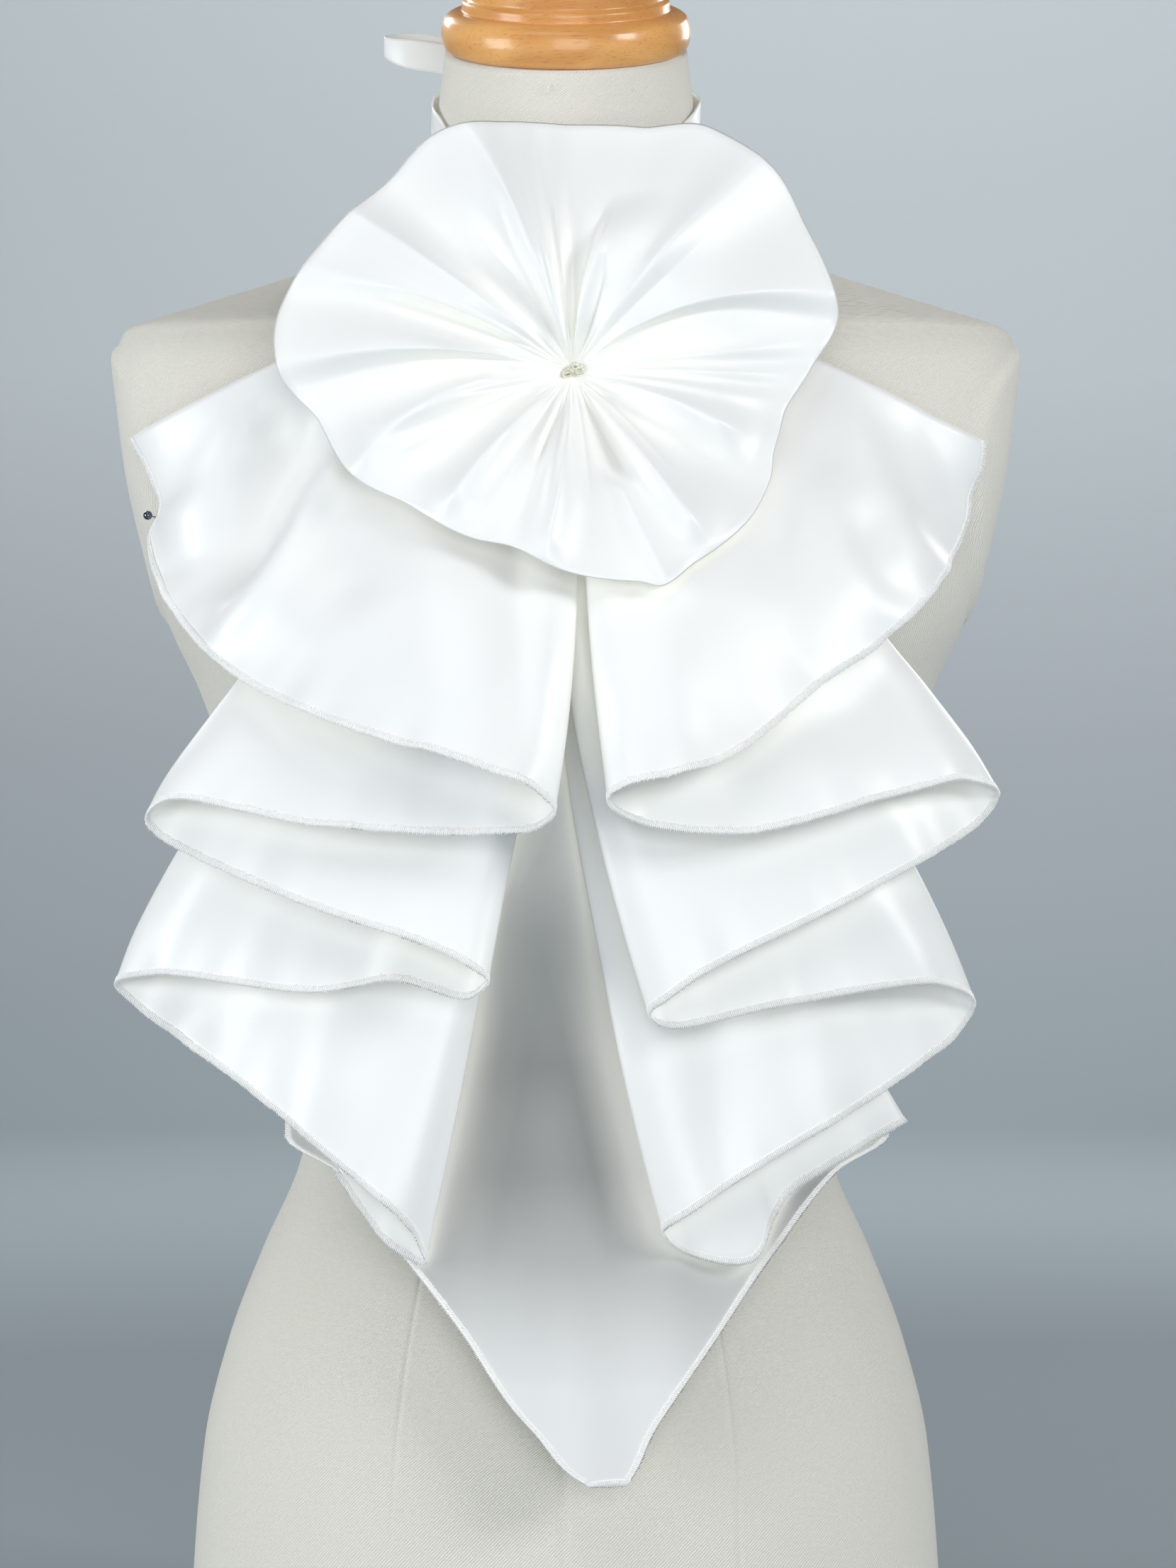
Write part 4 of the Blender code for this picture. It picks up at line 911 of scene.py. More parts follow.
class Workshop:
    """Turns points and faces into objects, and dresses them."""

    def __init__(self) -> None:
        """Make each finish once."""
        self.satin = SatinFinish().make()
        self.ribbon = SatinFinish("ribbon_satin", smooth=0.38, rough=0.46, weave=1100.0).make()
        # Painted shadow: the under panel's dull side is painted greyer between about 0.16 m and 0.41 m of height,
        # where the cascades shade it, and it gets a stronger painted glow in its folds.
        white, half_painted_shadow, painted_shadow = (1.0, 1.0, 1.0, 1.0), (0.53, 0.535, 0.53, 1.0), (0.37, 0.375, 0.368, 1.0)
        pale, pearl = (0.80, 0.81, 0.81, 1.0), (0.77, 0.785, 0.785, 1.0)
        painted_shadow_band = ((0.155, white), (0.205, half_painted_shadow), (0.24, painted_shadow), (0.285, painted_shadow), (0.34, half_painted_shadow), (0.41, white))
        self.dull = SatinFinish("satin_dull_side", pale, pearl, 0.50, 0.60, painted_glow=0.22, heights=painted_shadow_band).make()
        self.linen = LinenFinish().make()
        self.beech = BeechFinish().make()
        self.thread = ThreadFinish().make()
        self.knot_thread = ThreadFinish("cream_thread", (0.78, 0.76, 0.66, 1.0), (0.50, 0.48, 0.38, 1.0)).make()
        self.steel = SteelFinish().make()
        self.paper = StudioFinish().make()

    def piece(
        self,
        name: str,
        points: np.ndarray,
        faces: Sequence[Sequence[int]],
        finish: bpy.types.Material,
        uv: np.ndarray | None = None,
    ) -> bpy.types.Object:
        """Make a smooth shaded object.

        Args:
            name: The piece's name.
            points: Its points.
            faces: Its faces, as indices of points.
            finish: Its material.
            uv: Map coordinates in metres for each point, or nothing.

        Returns:
            The object.
        """
        mesh = bpy.data.meshes.new(name)
        mesh.from_pydata(np.asarray(points, dtype=float).tolist(), [], faces)
        work = bmesh.new()
        work.from_mesh(mesh)
        bmesh.ops.recalc_face_normals(work, faces=work.faces)
        work.to_mesh(mesh)
        work.free()
        if uv is not None:
            layer = mesh.uv_layers.new(name="cut")
            corners = np.empty(len(mesh.loops), dtype=np.int32)
            mesh.loops.foreach_get("vertex_index", corners)
            layer.data.foreach_set("uv", np.asarray(uv, dtype=np.float32)[corners].ravel())
        mesh.shade_smooth()
        mesh.materials.append(finish)
        made = bpy.data.objects.new(name, mesh)
        bpy.context.scene.collection.objects.link(made)
        LOG.info("%s: %d faces", name, len(mesh.polygons))
        return made

    def shell(
        self, name: str, front: np.ndarray, back: np.ndarray, wrap: bool, finish: bpy.types.Material
    ) -> bpy.types.Object:
        """Close two matching grids of points into a thin shell.

        Args:
            name: The piece's name.
            front: Points of one side, by row and column.
            back: Points of the other side.
            wrap: Whether the last row joins the first.
            finish: Its material.

        Returns:
            The object.
        """
        rows, columns = front.shape[:2]
        points = np.vstack([front.reshape(-1, 3), back.reshape(-1, 3)])
        index = np.arange(rows * columns).reshape(rows, columns)
        here = index if wrap else index[:-1]
        after = np.roll(index, -1, axis=0) if wrap else index[1:]
        shift = rows * columns
        a, b = here[:, :-1], after[:, :-1]
        quads = [np.stack([a, b, b + 1, a + 1], axis=-1).reshape(-1, 4)]
        quads.append(np.stack([a + shift, a + 1 + shift, b + 1 + shift, b + shift], axis=-1).reshape(-1, 4))
        for column in (0, columns - 1):
            a, b = here[:, column], after[:, column]
            quads.append(np.stack([a, a + shift, b + shift, b], axis=-1))
        if not wrap:
            for row in (0, rows - 1):
                a, b = index[row, :-1], index[row, 1:]
                quads.append(np.stack([a, b, b + shift, a + shift], axis=-1))
        return self.piece(name, points, np.vstack(quads).tolist(), finish)

    def tubes(
        self, name: str, paths: Sequence[np.ndarray], radius: float, sides: int, finish: bpy.types.Material
    ) -> bpy.types.Object:
        """Lay round threads along paths, as one object.

        Args:
            name: The piece's name.
            paths: Points of each path.
            radius: Radius of the thread.
            sides: Sides of its section.
            finish: Its material.

        Returns:
            The object.
        """
        turns = 2.0 * math.pi * np.arange(sides) / sides
        points: list[np.ndarray] = []
        faces: list[list[int]] = []
        start = 0
        for path in paths:
            along = np.gradient(path, axis=0)
            along /= np.maximum(np.linalg.norm(along, axis=1, keepdims=True), 1e-12)
            guide = np.where(np.abs(along[:, 1:2]) > 0.85, [[1.0, 0.0, 0.0]], [[0.0, 1.0, 0.0]])
            across = np.cross(along, guide)
            across /= np.maximum(np.linalg.norm(across, axis=1, keepdims=True), 1e-12)
            upward = np.cross(along, across)
            ring = across[:, None] * np.cos(turns)[None, :, None] + upward[:, None] * np.sin(turns)[None, :, None]
            points.append((path[:, None] + radius * ring).reshape(-1, 3))
            count = len(path)
            index = start + np.arange(count * sides).reshape(count, sides)
            beside = np.roll(index, -1, axis=1)
            quads = np.stack([index[:-1], beside[:-1], beside[1:], index[1:]], axis=-1).reshape(-1, 4)
            faces.extend(quads.tolist())
            faces.append(index[0][::-1].tolist())
            faces.append(index[-1].tolist())
            start += count * sides
        return self.piece(name, np.vstack(points), faces, finish)


class Place(Enum):
    """Slot names that seat() is given for each piece."""

    SATIN = "satin"
    RIBBON = "ribbon_satin"
    LINEN = "form_linen"
    CAP = "cap_wood"
    BASE = "base_wood"


def seat(made: bpy.types.Object, place: Place, *nodes: str) -> bpy.types.Object:
    """Set a piece on the frame.

    Args:
        made: The piece.
        place: Not used.
        *nodes: The solids that it stands for.

    Returns:
        The same piece.
    """
    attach(made, ROOT)
    if nodes:
        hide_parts(*nodes)
    return made


@dataclass(frozen=True)
class Overlock:
    """Close stitches that wrap a raw edge, with a needle line where they end."""

    pitch: float = 0.0008
    width: float = 0.0026
    slant: float = 0.0004
    thread: float = 0.00026
    jitter: float = 0.00030
    overhang: float = 0.0005

    def paths(
        self, edge: np.ndarray, inward: np.ndarray, normal: np.ndarray, wall: float, seed: int
    ) -> list[np.ndarray]:
        """Work out the threads along an edge.

        Args:
            edge: Points along the raw edge.
            inward: Unit vectors from the edge into the cloth.
            normal: Unit vectors out of the cloth's front.
            wall: The cloth's thickness.
            seed: Seed of the small unevenness.

        Returns:
            A path for each stitch, and the needle line on each side.
        """
        random = np.random.default_rng(seed)
        run = path_length(edge)
        beats = np.linspace(0.0, run[-1], max(int(run[-1] / self.pitch), 4))
        at_edge = np.stack([np.interp(beats, run, edge[:, axis]) for axis in range(3)], axis=1)
        into = np.stack([np.interp(beats, run, inward[:, axis]) for axis in range(3)], axis=1)
        out = np.stack([np.interp(beats, run, normal[:, axis]) for axis in range(3)], axis=1)
        along = np.gradient(at_edge, axis=0)
        along /= np.maximum(np.linalg.norm(along, axis=1, keepdims=True), 1e-12)
        clear = wall / 2.0 + self.thread * 0.2
        reach = self.width + random.uniform(-self.jitter, self.jitter, len(beats))
        past = self.overhang + random.uniform(-self.jitter, self.jitter, len(beats))
        stations = ((1.0, 0.0, 1.0), (0.5, 0.0, 1.0), (0.0, 0.0, 0.95), (0.0, 1.0, 0.0), (0.0, 0.0, -0.95), (1.0, 0.0, -1.0))
        stitches = np.stack(
            [
                at_edge
                + into * (inner * reach - outer * past)[:, None]
                + along * (self.slant * (inner - 0.5) * (1.0 if side > 0.0 else -1.0))
                + out * (side * clear)
                for inner, outer, side in stations
            ],
            axis=1,
        )
        line = (at_edge + into * (self.width - 0.0003))[::2]
        return [*stitches, line + out[::2] * clear, line - out[::2] * clear]


@dataclass(frozen=True)
class FormShape:
    """The dress form's body as a shape that cloth can hang on."""

    rows: tuple[Section, ...] = BODY
    bust: float = 0.440
    clearance: float = 0.0009
    lean: float = 0.018
    side_fall: float = 0.022
    side_reach: float = 0.120
    blend: float = 0.008
    easing: float = 0.040

    def column(self, name: str, height: np.ndarray | float) -> np.ndarray:
        """Read one column of the body table at some heights."""
        heights = np.array([row.height for row in self.rows])
        values = np.array([getattr(row, name) for row in self.rows])
        return monotone(heights, values, np.asarray(height, dtype=float))

    def front(self, x: np.ndarray, height: np.ndarray) -> np.ndarray:
        """Depth of the body's front at some places across it."""
        power = self.column("squareness", height)
        across = np.minimum(np.abs(x) / self.column("half_width", height), 0.999)
        return self.column("front", height) * (1.0 - across**power) ** (1.0 / power)

    def hanging(self, x: np.ndarray, height: np.ndarray) -> np.ndarray:
        """Depth of the line that cloth hangs on: the chest down to the bust, then a plumb line.

        Args:
            x: Places across.
            height: Heights.

        Returns:
            The depth in front of the middle plane.
        """
        x = np.asarray(x, dtype=float)
        height = np.asarray(height, dtype=float)
        chest = self.front(x, height) + self.clearance
        bust_depth = self.column("front", self.bust) + self.clearance
        above = self.column("front", height) + self.clearance
        plumb = np.where(height > self.bust, above, bust_depth - self.lean * (self.bust - height))
        plumb = plumb - self.blend * smooth_step(self.bust - self.easing, self.bust, height)
        plumb = plumb - self.side_fall * (x / self.side_reach) ** 2
        near = np.maximum(self.blend - np.abs(chest - plumb), 0.0) / self.blend
        return np.maximum(chest, plumb) + near * near * self.blend / 4.0

    def skin(self, angle: float, height: float) -> np.ndarray:
        """Point of the neck's skin in a direction and at a height.

        Args:
            angle: Degrees from the form's left side over the nape.
            height: Height of the point.

        Returns:
            Its two level coordinates.
        """
        turn = math.radians(angle)
        levels = np.linspace(0.594, self.rows[-1].height, 70)
        power = 2.0 / self.column("squareness", levels)
        x = self.column("half_width", levels) * signed_power(math.cos(turn), power)
        reach = self.column("back" if math.sin(turn) > 0.0 else "front", levels)
        y = reach * signed_power(math.sin(turn), power)
        rise = levels + self.column("lean", levels) * y
        return np.array([np.interp(height, rise, x), np.interp(height, rise, y)])


@dataclass
class DressForm:
    """Limbless form: padded body in its cloth cover, turned cap and base plate."""

    shop: Workshop
    shape: FormShape
    seam_gap: float = 0.0003
    level_steps: int = 9
    round_steps: int = 200
    seam_fraction: float = 0.45
    seam_depth: float = 0.00035
    seam_width: float = 0.0009
    seam_lip: float = 0.00010
    plate_y: float = 0.004
    plate_z: float = 0.5300
    plate_half_y: float = 0.062
    plate_half_z: float = 0.060
    plate_rise: float = 0.0022
    cap_rows: tuple[CapStep, ...] = CAP
    cap_lean: float = math.atan(0.325)
    cap_y: float = -0.006
    base_height: float = 0.015
    base_half_width: float = 0.158
    base_front: float = 0.101
    base_back: float = 0.117
    base_edge: float = 0.003

    def turns(self) -> tuple[np.ndarray, np.ndarray]:
        """Columns round the body, closer together at the seams.

        Returns:
            The angle of each column, and how far in metres it lies from a seam.
        """
        lean = math.acos(self.seam_fraction ** (2.3 / 2.0))
        seams = np.array([math.pi / 2, 3 * math.pi / 2, lean, -lean, math.pi - lean, math.pi + lean])
        seams = seams % (2.0 * math.pi)
        cluster = np.array([-0.030, -0.020, -0.013, -0.008, -0.004, 0.0, 0.004, 0.008, 0.013, 0.020, 0.030])
        even = np.linspace(0.0, 2.0 * math.pi, self.round_steps, endpoint=False)
        away = np.abs((even[:, None] - seams[None] + math.pi) % (2.0 * math.pi) - math.pi).min(axis=1)
        angles = np.concatenate([even[away > 0.036], (seams[:, None] + cluster).ravel()])
        angles = np.sort(angles % (2.0 * math.pi))
        away = np.abs((angles[:, None] - seams[None] + math.pi) % (2.0 * math.pi) - math.pi).min(axis=1)
        return angles, away * 0.14

    def body_grid(self) -> tuple[np.ndarray, np.ndarray]:
        """Points of the cover by level and column, and the length round each level."""
        heights = np.array([row.height for row in self.shape.rows])
        marks = np.arange((len(heights) - 1) * self.level_steps + 1) / self.level_steps
        levels = np.interp(marks, np.arange(len(heights)), heights)
        angles, away = self.turns()
        share = signed_power(np.cos(angles), 2.0 / 2.3)[None]
        power = self.shape.column("squareness", levels)[:, None]
        x = self.shape.column("half_width", levels)[:, None] * share
        reach = np.where(
            np.sin(angles)[None] > 0.0,
            self.shape.column("back", levels)[:, None],
            self.shape.column("front", levels)[:, None],
        )
        y = reach * np.sign(np.sin(angles))[None] * (1.0 - np.abs(share) ** power) ** (1.0 / power)
        z = levels[:, None] + self.shape.column("lean", levels)[:, None] * y
        grid = np.stack([x, y, z], axis=2)
        outward = grid_normals(np.swapaxes(grid, 0, 1), True).swapaxes(0, 1)
        centre = grid.mean(axis=1, keepdims=True)
        sign = np.sign(((grid - centre) * outward).sum(axis=2, keepdims=True))
        outward = outward * np.where(sign == 0.0, 1.0, sign)
        groove = -self.seam_depth * np.exp(-((away / self.seam_width) ** 2))
        lip = self.seam_lip * np.exp(-(((away - 2.2 * self.seam_width) / self.seam_width) ** 2))
        relief = (groove + lip)[None] * (1.0 - smooth_step(0.612, 0.632, levels))[:, None]
        across = (y - self.plate_y) / self.plate_half_y
        upward = (z - self.plate_z) / self.plate_half_z
        reach = np.sqrt(across**2 + upward**2)
        side = smooth_step(0.80, 0.90, np.abs(share))
        relief = relief + self.plate_rise * (1.0 - smooth_step(0.96, 1.03, reach)) * side
        relief = relief * smooth_step(0.0, 0.006, levels - levels[0])[:, None]
        return grid + outward * relief[:, :, None], levels

    def make_body(self) -> bpy.types.Object:
        """Padded body in its cover, with the panel seams sewn in."""
        grid, levels = self.body_grid()
        rows, columns = grid.shape[:2]
        closed = np.concatenate([grid, grid[:, :1]], axis=1)
        steps = np.linalg.norm(np.diff(closed, axis=1), axis=2)
        run = np.concatenate([np.zeros((rows, 1)), np.cumsum(steps, axis=1)[:, :-1]], axis=1)
        up = path_length(grid[:, columns // 8])
        uv = np.stack([run, np.repeat(up[:, None], columns, axis=1)], axis=2).reshape(-1, 2)
        index = np.arange(rows * columns).reshape(rows, columns)
        beside = np.roll(index, -1, axis=1)
        quads = np.stack([index[:-1], beside[:-1], beside[1:], index[1:]], axis=-1)
        faces = quads.reshape(-1, 4).tolist()
        faces.append(index[0][::-1].tolist())
        faces.append(index[-1].tolist())
        made = self.shop.piece("form_body_cover", grid.reshape(-1, 3), faces, self.shop.linen, uv)
        return seat(made, Place.LINEN, "form_torso")

    def make_cap(self) -> bpy.types.Object:
        """Turned cap, leaning forward on the neck."""
        radii = np.array([step.radius for step in self.cap_rows])
        heights = np.array([step.height for step in self.cap_rows])
        run = np.concatenate([[0.0], np.cumsum(np.hypot(np.diff(radii), np.diff(heights)))])
        marks = np.linspace(0.0, run[-1], 150)
        radius = monotone(run, radii, marks)
        height = monotone(run, heights, marks) + self.seam_gap
        angles = np.linspace(0.0, 2.0 * math.pi, 128, endpoint=False)
        top = self.shape.rows[-1]
        foot = top.height + top.lean * self.cap_y
        sine, cosine = math.sin(self.cap_lean), math.cos(self.cap_lean)
        forward = radius[:, None] * np.sin(angles)[None]
        x = radius[:, None] * np.cos(angles)[None]
        y = self.cap_y + forward * cosine - height[:, None] * sine
        z = foot + forward * sine + height[:, None] * cosine
        grid = np.stack([x, y, z], axis=2)
        return seat(self.lathe("neck_cap_turned", grid, self.shop.beech), Place.CAP, "neck_cap")

    def lathe(self, name: str, grid: np.ndarray, finish: bpy.types.Material) -> bpy.types.Object:
        """Close rings of points into a solid.

        Args:
            name: The piece's name.
            grid: Points by ring and column.
            finish: Its material.

        Returns:
            The object.
        """
        rows, columns = grid.shape[:2]
        index = np.arange(rows * columns).reshape(rows, columns)
        beside = np.roll(index, -1, axis=1)
        quads = np.stack([index[:-1], beside[:-1], beside[1:], index[1:]], axis=-1)
        faces = quads.reshape(-1, 4).tolist()
        faces.append(index[0][::-1].tolist())
        faces.append(index[-1].tolist())
        return self.shop.piece(name, grid.reshape(-1, 3), faces, finish)

    def make_base(self) -> bpy.types.Object:
        """Base plate with a rounded edge."""
        angles = np.linspace(0.0, 2.0 * math.pi, 160, endpoint=False)
        power = 2.0 / self.shape.rows[0].squareness
        quarter = np.linspace(0.0, math.pi / 2.0, 7)
        inset = np.concatenate([1.0 - np.sin(quarter), 1.0 - np.cos(quarter)]) * self.base_edge
        rise = np.concatenate([1.0 - np.cos(quarter), np.sin(quarter)]) * self.base_edge
        rise[7:] += self.base_height - 2.0 * self.base_edge
        rings = []
        for inward, height in zip(inset, rise):
            x = (self.base_half_width - inward) * signed_power(np.cos(angles), power)
            reach = np.where(np.sin(angles) > 0.0, self.base_back, self.base_front) - inward
            y = reach * signed_power(np.sin(angles), power)
            rings.append(np.stack([x, y, np.full(len(angles), height)], axis=1))
        return seat(self.lathe("form_base_plate", np.array(rings), self.shop.beech), Place.BASE, "form_base")

    def make_frays(self) -> bpy.types.Object:
        """Loose threads of the cover, just under the cap."""
        random = np.random.default_rng(SEED)
        paths = []
        for angle in (-99.0, -97.0, -95.5, -58.0, 40.0, 95.0, 160.0):
            height = 0.6985 if math.sin(math.radians(angle)) < 0.0 else 0.7260
            x, y = self.shape.skin(angle, height - 0.004)
            outward = np.array([math.cos(math.radians(angle)), math.sin(math.radians(angle)), 0.0])
            start = np.array([x, y, height - 0.004]) + outward * 0.0004
            drop = np.linspace(0.0, 1.0, 9)[:, None]
            length = random.uniform(0.002, 0.005)
            curl = random.uniform(-0.0012, 0.0012)
            sway = np.stack([np.sin(drop[:, 0] * 3.0) * curl, np.zeros(9), -drop[:, 0] * length], axis=1)
            paths.append(start + sway + outward * 0.0010 * np.sin(drop * math.pi))
        return seat(self.shop.tubes("cover_loose_threads", paths, 0.00012, 5, self.shop.thread), Place.LINEN)

    def build(self) -> None:
        """Build and dress the whole form."""
        self.make_base()
        self.make_body()
        self.make_cap()
        self.make_frays()


@dataclass
class Cascade:
    """Accordion ruffle of one side, with its overlocked hem."""

    shop: Workshop
    shape: FormShape
    name: str
    folds: tuple[Fold, ...]
    creases: tuple[Crease, ...]
    flat: tuple[float, float]
    seed: int
    wall: float = 0.0008
    flare: float = 1.35
    step: float = 0.0028
    level_count: int = 64
    crease_share: float = 1.6
    hem_wave: float = 0.0006

    def middle(self) -> tuple[np.ndarray, np.ndarray]:
        """Middle surface from the hem to the gathers, and each line's row in the fold table."""
        table = np.column_stack([np.array(self.folds), np.arange(len(self.folds))])
        lengths = np.linalg.norm(np.diff(table[:, :3], axis=0), axis=1)
        steps = np.maximum(np.round(lengths / self.step), 4).astype(int)
        rows = through_points(table, steps)
        level = np.linspace(0.0, 1.0, self.level_count)[None]
        x, z, lift, top_x, top_z, top_lift, bow, row = (rows[:, column][:, None] for column in range(8))
        across = x + (top_x - x) * level + 2.0 * level * (1.0 - level) * bow
        upward = z + (top_z - z) * level
        off = top_lift + (lift - top_lift) * (1.0 - level) ** self.flare
        depth = self.shape.hanging(across, upward) + off
        return np.stack([across, -depth, upward], axis=2), rows[:, 7]

    def relief(self, grid: np.ndarray, row: np.ndarray) -> np.ndarray:
        """Height of the creases, the hem's small waves and the gathers.

        Args:
            grid: The middle surface.
            row: Each line's row in the fold table.

        Returns:
            How far each point moves along its normal.
        """
        total = np.zeros(grid.shape[:2])
        x, z = grid[:, :, 0], grid[:, :, 2]
        for crease in self.creases:
            dx, dz = crease.x2 - crease.x1, crease.z2 - crease.z1
            size = math.hypot(dx, dz)
            along = ((x - crease.x1) * dx + (z - crease.z1) * dz) / (size * size)
            away = ((x - crease.x1) * dz - (z - crease.z1) * dx) / size
            window = smooth_step(-0.25, 0.25, along) * (1.0 - smooth_step(0.75, 1.25, along))
            inside = smooth_step(crease.first - 0.5, crease.first + 0.5, row)
            inside = inside * (1.0 - smooth_step(crease.last - 0.5, crease.last + 0.5, row))
            height = self.crease_share * crease.height
            total += height * np.exp(-((away / crease.width) ** 2)) * window * inside[:, None]
        run = path_length(grid[:, 0])[:, None]
        level = np.linspace(0.0, 1.0, grid.shape[1])[None]
        hem = np.exp(-level * 14.0)
        waves = np.sin(run * 190.0 + 1.3 * self.seed) + 0.7 * np.sin(run * 310.0 + 2.1 * self.seed)
        total += self.hem_wave * waves * hem
        gathers = np.sin(row * 5.1 + self.seed)[:, None] * smooth_step(0.70, 0.95, level)
        total += 0.0008 * gathers
        broad = np.sin(x * 46.0 + self.seed) * np.sin(z * 33.0 + 2.0 * self.seed)
        total += 0.0007 * broad * np.sin(np.pi * np.minimum(level * 1.2, 1.0))
        return total

    def build(self) -> None:
        """Build the ruffle and sew its hem."""
        grid, row = self.middle()
        normals = grid_normals(grid, False)
        if normals[: len(normals) // 5, :, 1].mean() > 0.0:
            normals = -normals
        grid = grid + normals * self.relief(grid, row)[:, :, None]
        normals = grid_normals(grid, False) * np.sign((grid_normals(grid, False) * normals).sum(axis=2, keepdims=True))
        half = normals * self.wall / 2.0
        cloth = self.shop.shell(f"{self.name}_satin", grid + half, grid - half, False, self.shop.satin)
        seat(cloth, Place.SATIN, self.name)
        inward = grid[:, 3] - grid[:, 0]
        inward /= np.linalg.norm(inward, axis=1, keepdims=True)
        paths = Overlock().paths(grid[:, 0], inward, normals[:, 0], self.wall, self.seed)
        hem = seat(self.shop.tubes(f"{self.name}_overlock", paths, Overlock.thread, 5, self.shop.thread), Place.SATIN)


@dataclass
class UnderPanel:
    """Pointed panel that hangs behind the cascades."""

    shop: Workshop
    shape: FormShape
    rows: tuple[PanelRow, ...] = PANEL
    wall: float = 0.0009
    hollow: float = 0.012
    columns: int = 90
    levels: int = 230

    def middle(self) -> np.ndarray:
        """Middle surface by level and column, with the soft folds of its hang."""
        heights = np.array([row.height for row in self.rows])
        level = np.linspace(heights[0], heights[-1], self.levels)
        left = monotone(heights, np.array([row.left for row in self.rows]), level)[:, None]
        right = monotone(heights, np.array([row.right for row in self.rows]), level)[:, None]
        lift = np.interp(level, heights, np.array([row.lift for row in self.rows]))[:, None]
        share = np.linspace(0.0, 1.0, self.columns)[None]
        x = left + (right - left) * share
        z = np.repeat(level[:, None], self.columns, axis=1)
        free = 1.0 - smooth_step(0.20, 0.40, z)
        folds = 0.0030 * np.sin(x * 62.0 + 1.0) + 0.0014 * np.sin(x * 118.0 + z * 9.0 + 0.4)
        fall = 0.0020 * np.exp(-(((x - 0.045) / 0.020) ** 2))
        sunk = smooth_step(0.16, 0.24, z) * (1.0 - smooth_step(0.29, 0.37, z))
        sunk = self.hollow * sunk * np.exp(-(((x - 0.012) / 0.055) ** 2))
        depth = self.shape.hanging(x, z) + lift + 0.0008 + (folds + fall + 0.0044) * free - sunk
        return np.stack([x, -depth, z], axis=2)

    def build(self) -> None:
        """Build the panel and sew its edges."""
        grid = self.middle()
        normals = grid_normals(grid, False)
        normals = normals * np.where(normals[:, :, 1:2] > 0.0, -1.0, 1.0)
        half = normals * self.wall / 2.0
        cloth = self.shop.shell("under_panel_satin", grid + half, grid - half, False, self.shop.dull)
        seat(cloth, Place.SATIN, "under_panel")
        stop = int(self.levels * 0.60)
        edge = np.vstack([grid[stop:0:-1, 0], grid[0], grid[1:stop, -1]])
        inner = np.vstack([grid[stop:0:-1, 3], grid[3], grid[1:stop, -4]])
        out = np.vstack([normals[stop:0:-1, 0], normals[0], normals[1:stop, -1]])
        inward = inner - edge
        inward /= np.linalg.norm(inward, axis=1, keepdims=True)
        paths = Overlock().paths(edge, inward, out, self.wall, SEED)
        hem = seat(self.shop.tubes("under_panel_overlock", paths, Overlock.thread, 5, self.shop.thread), Place.SATIN)


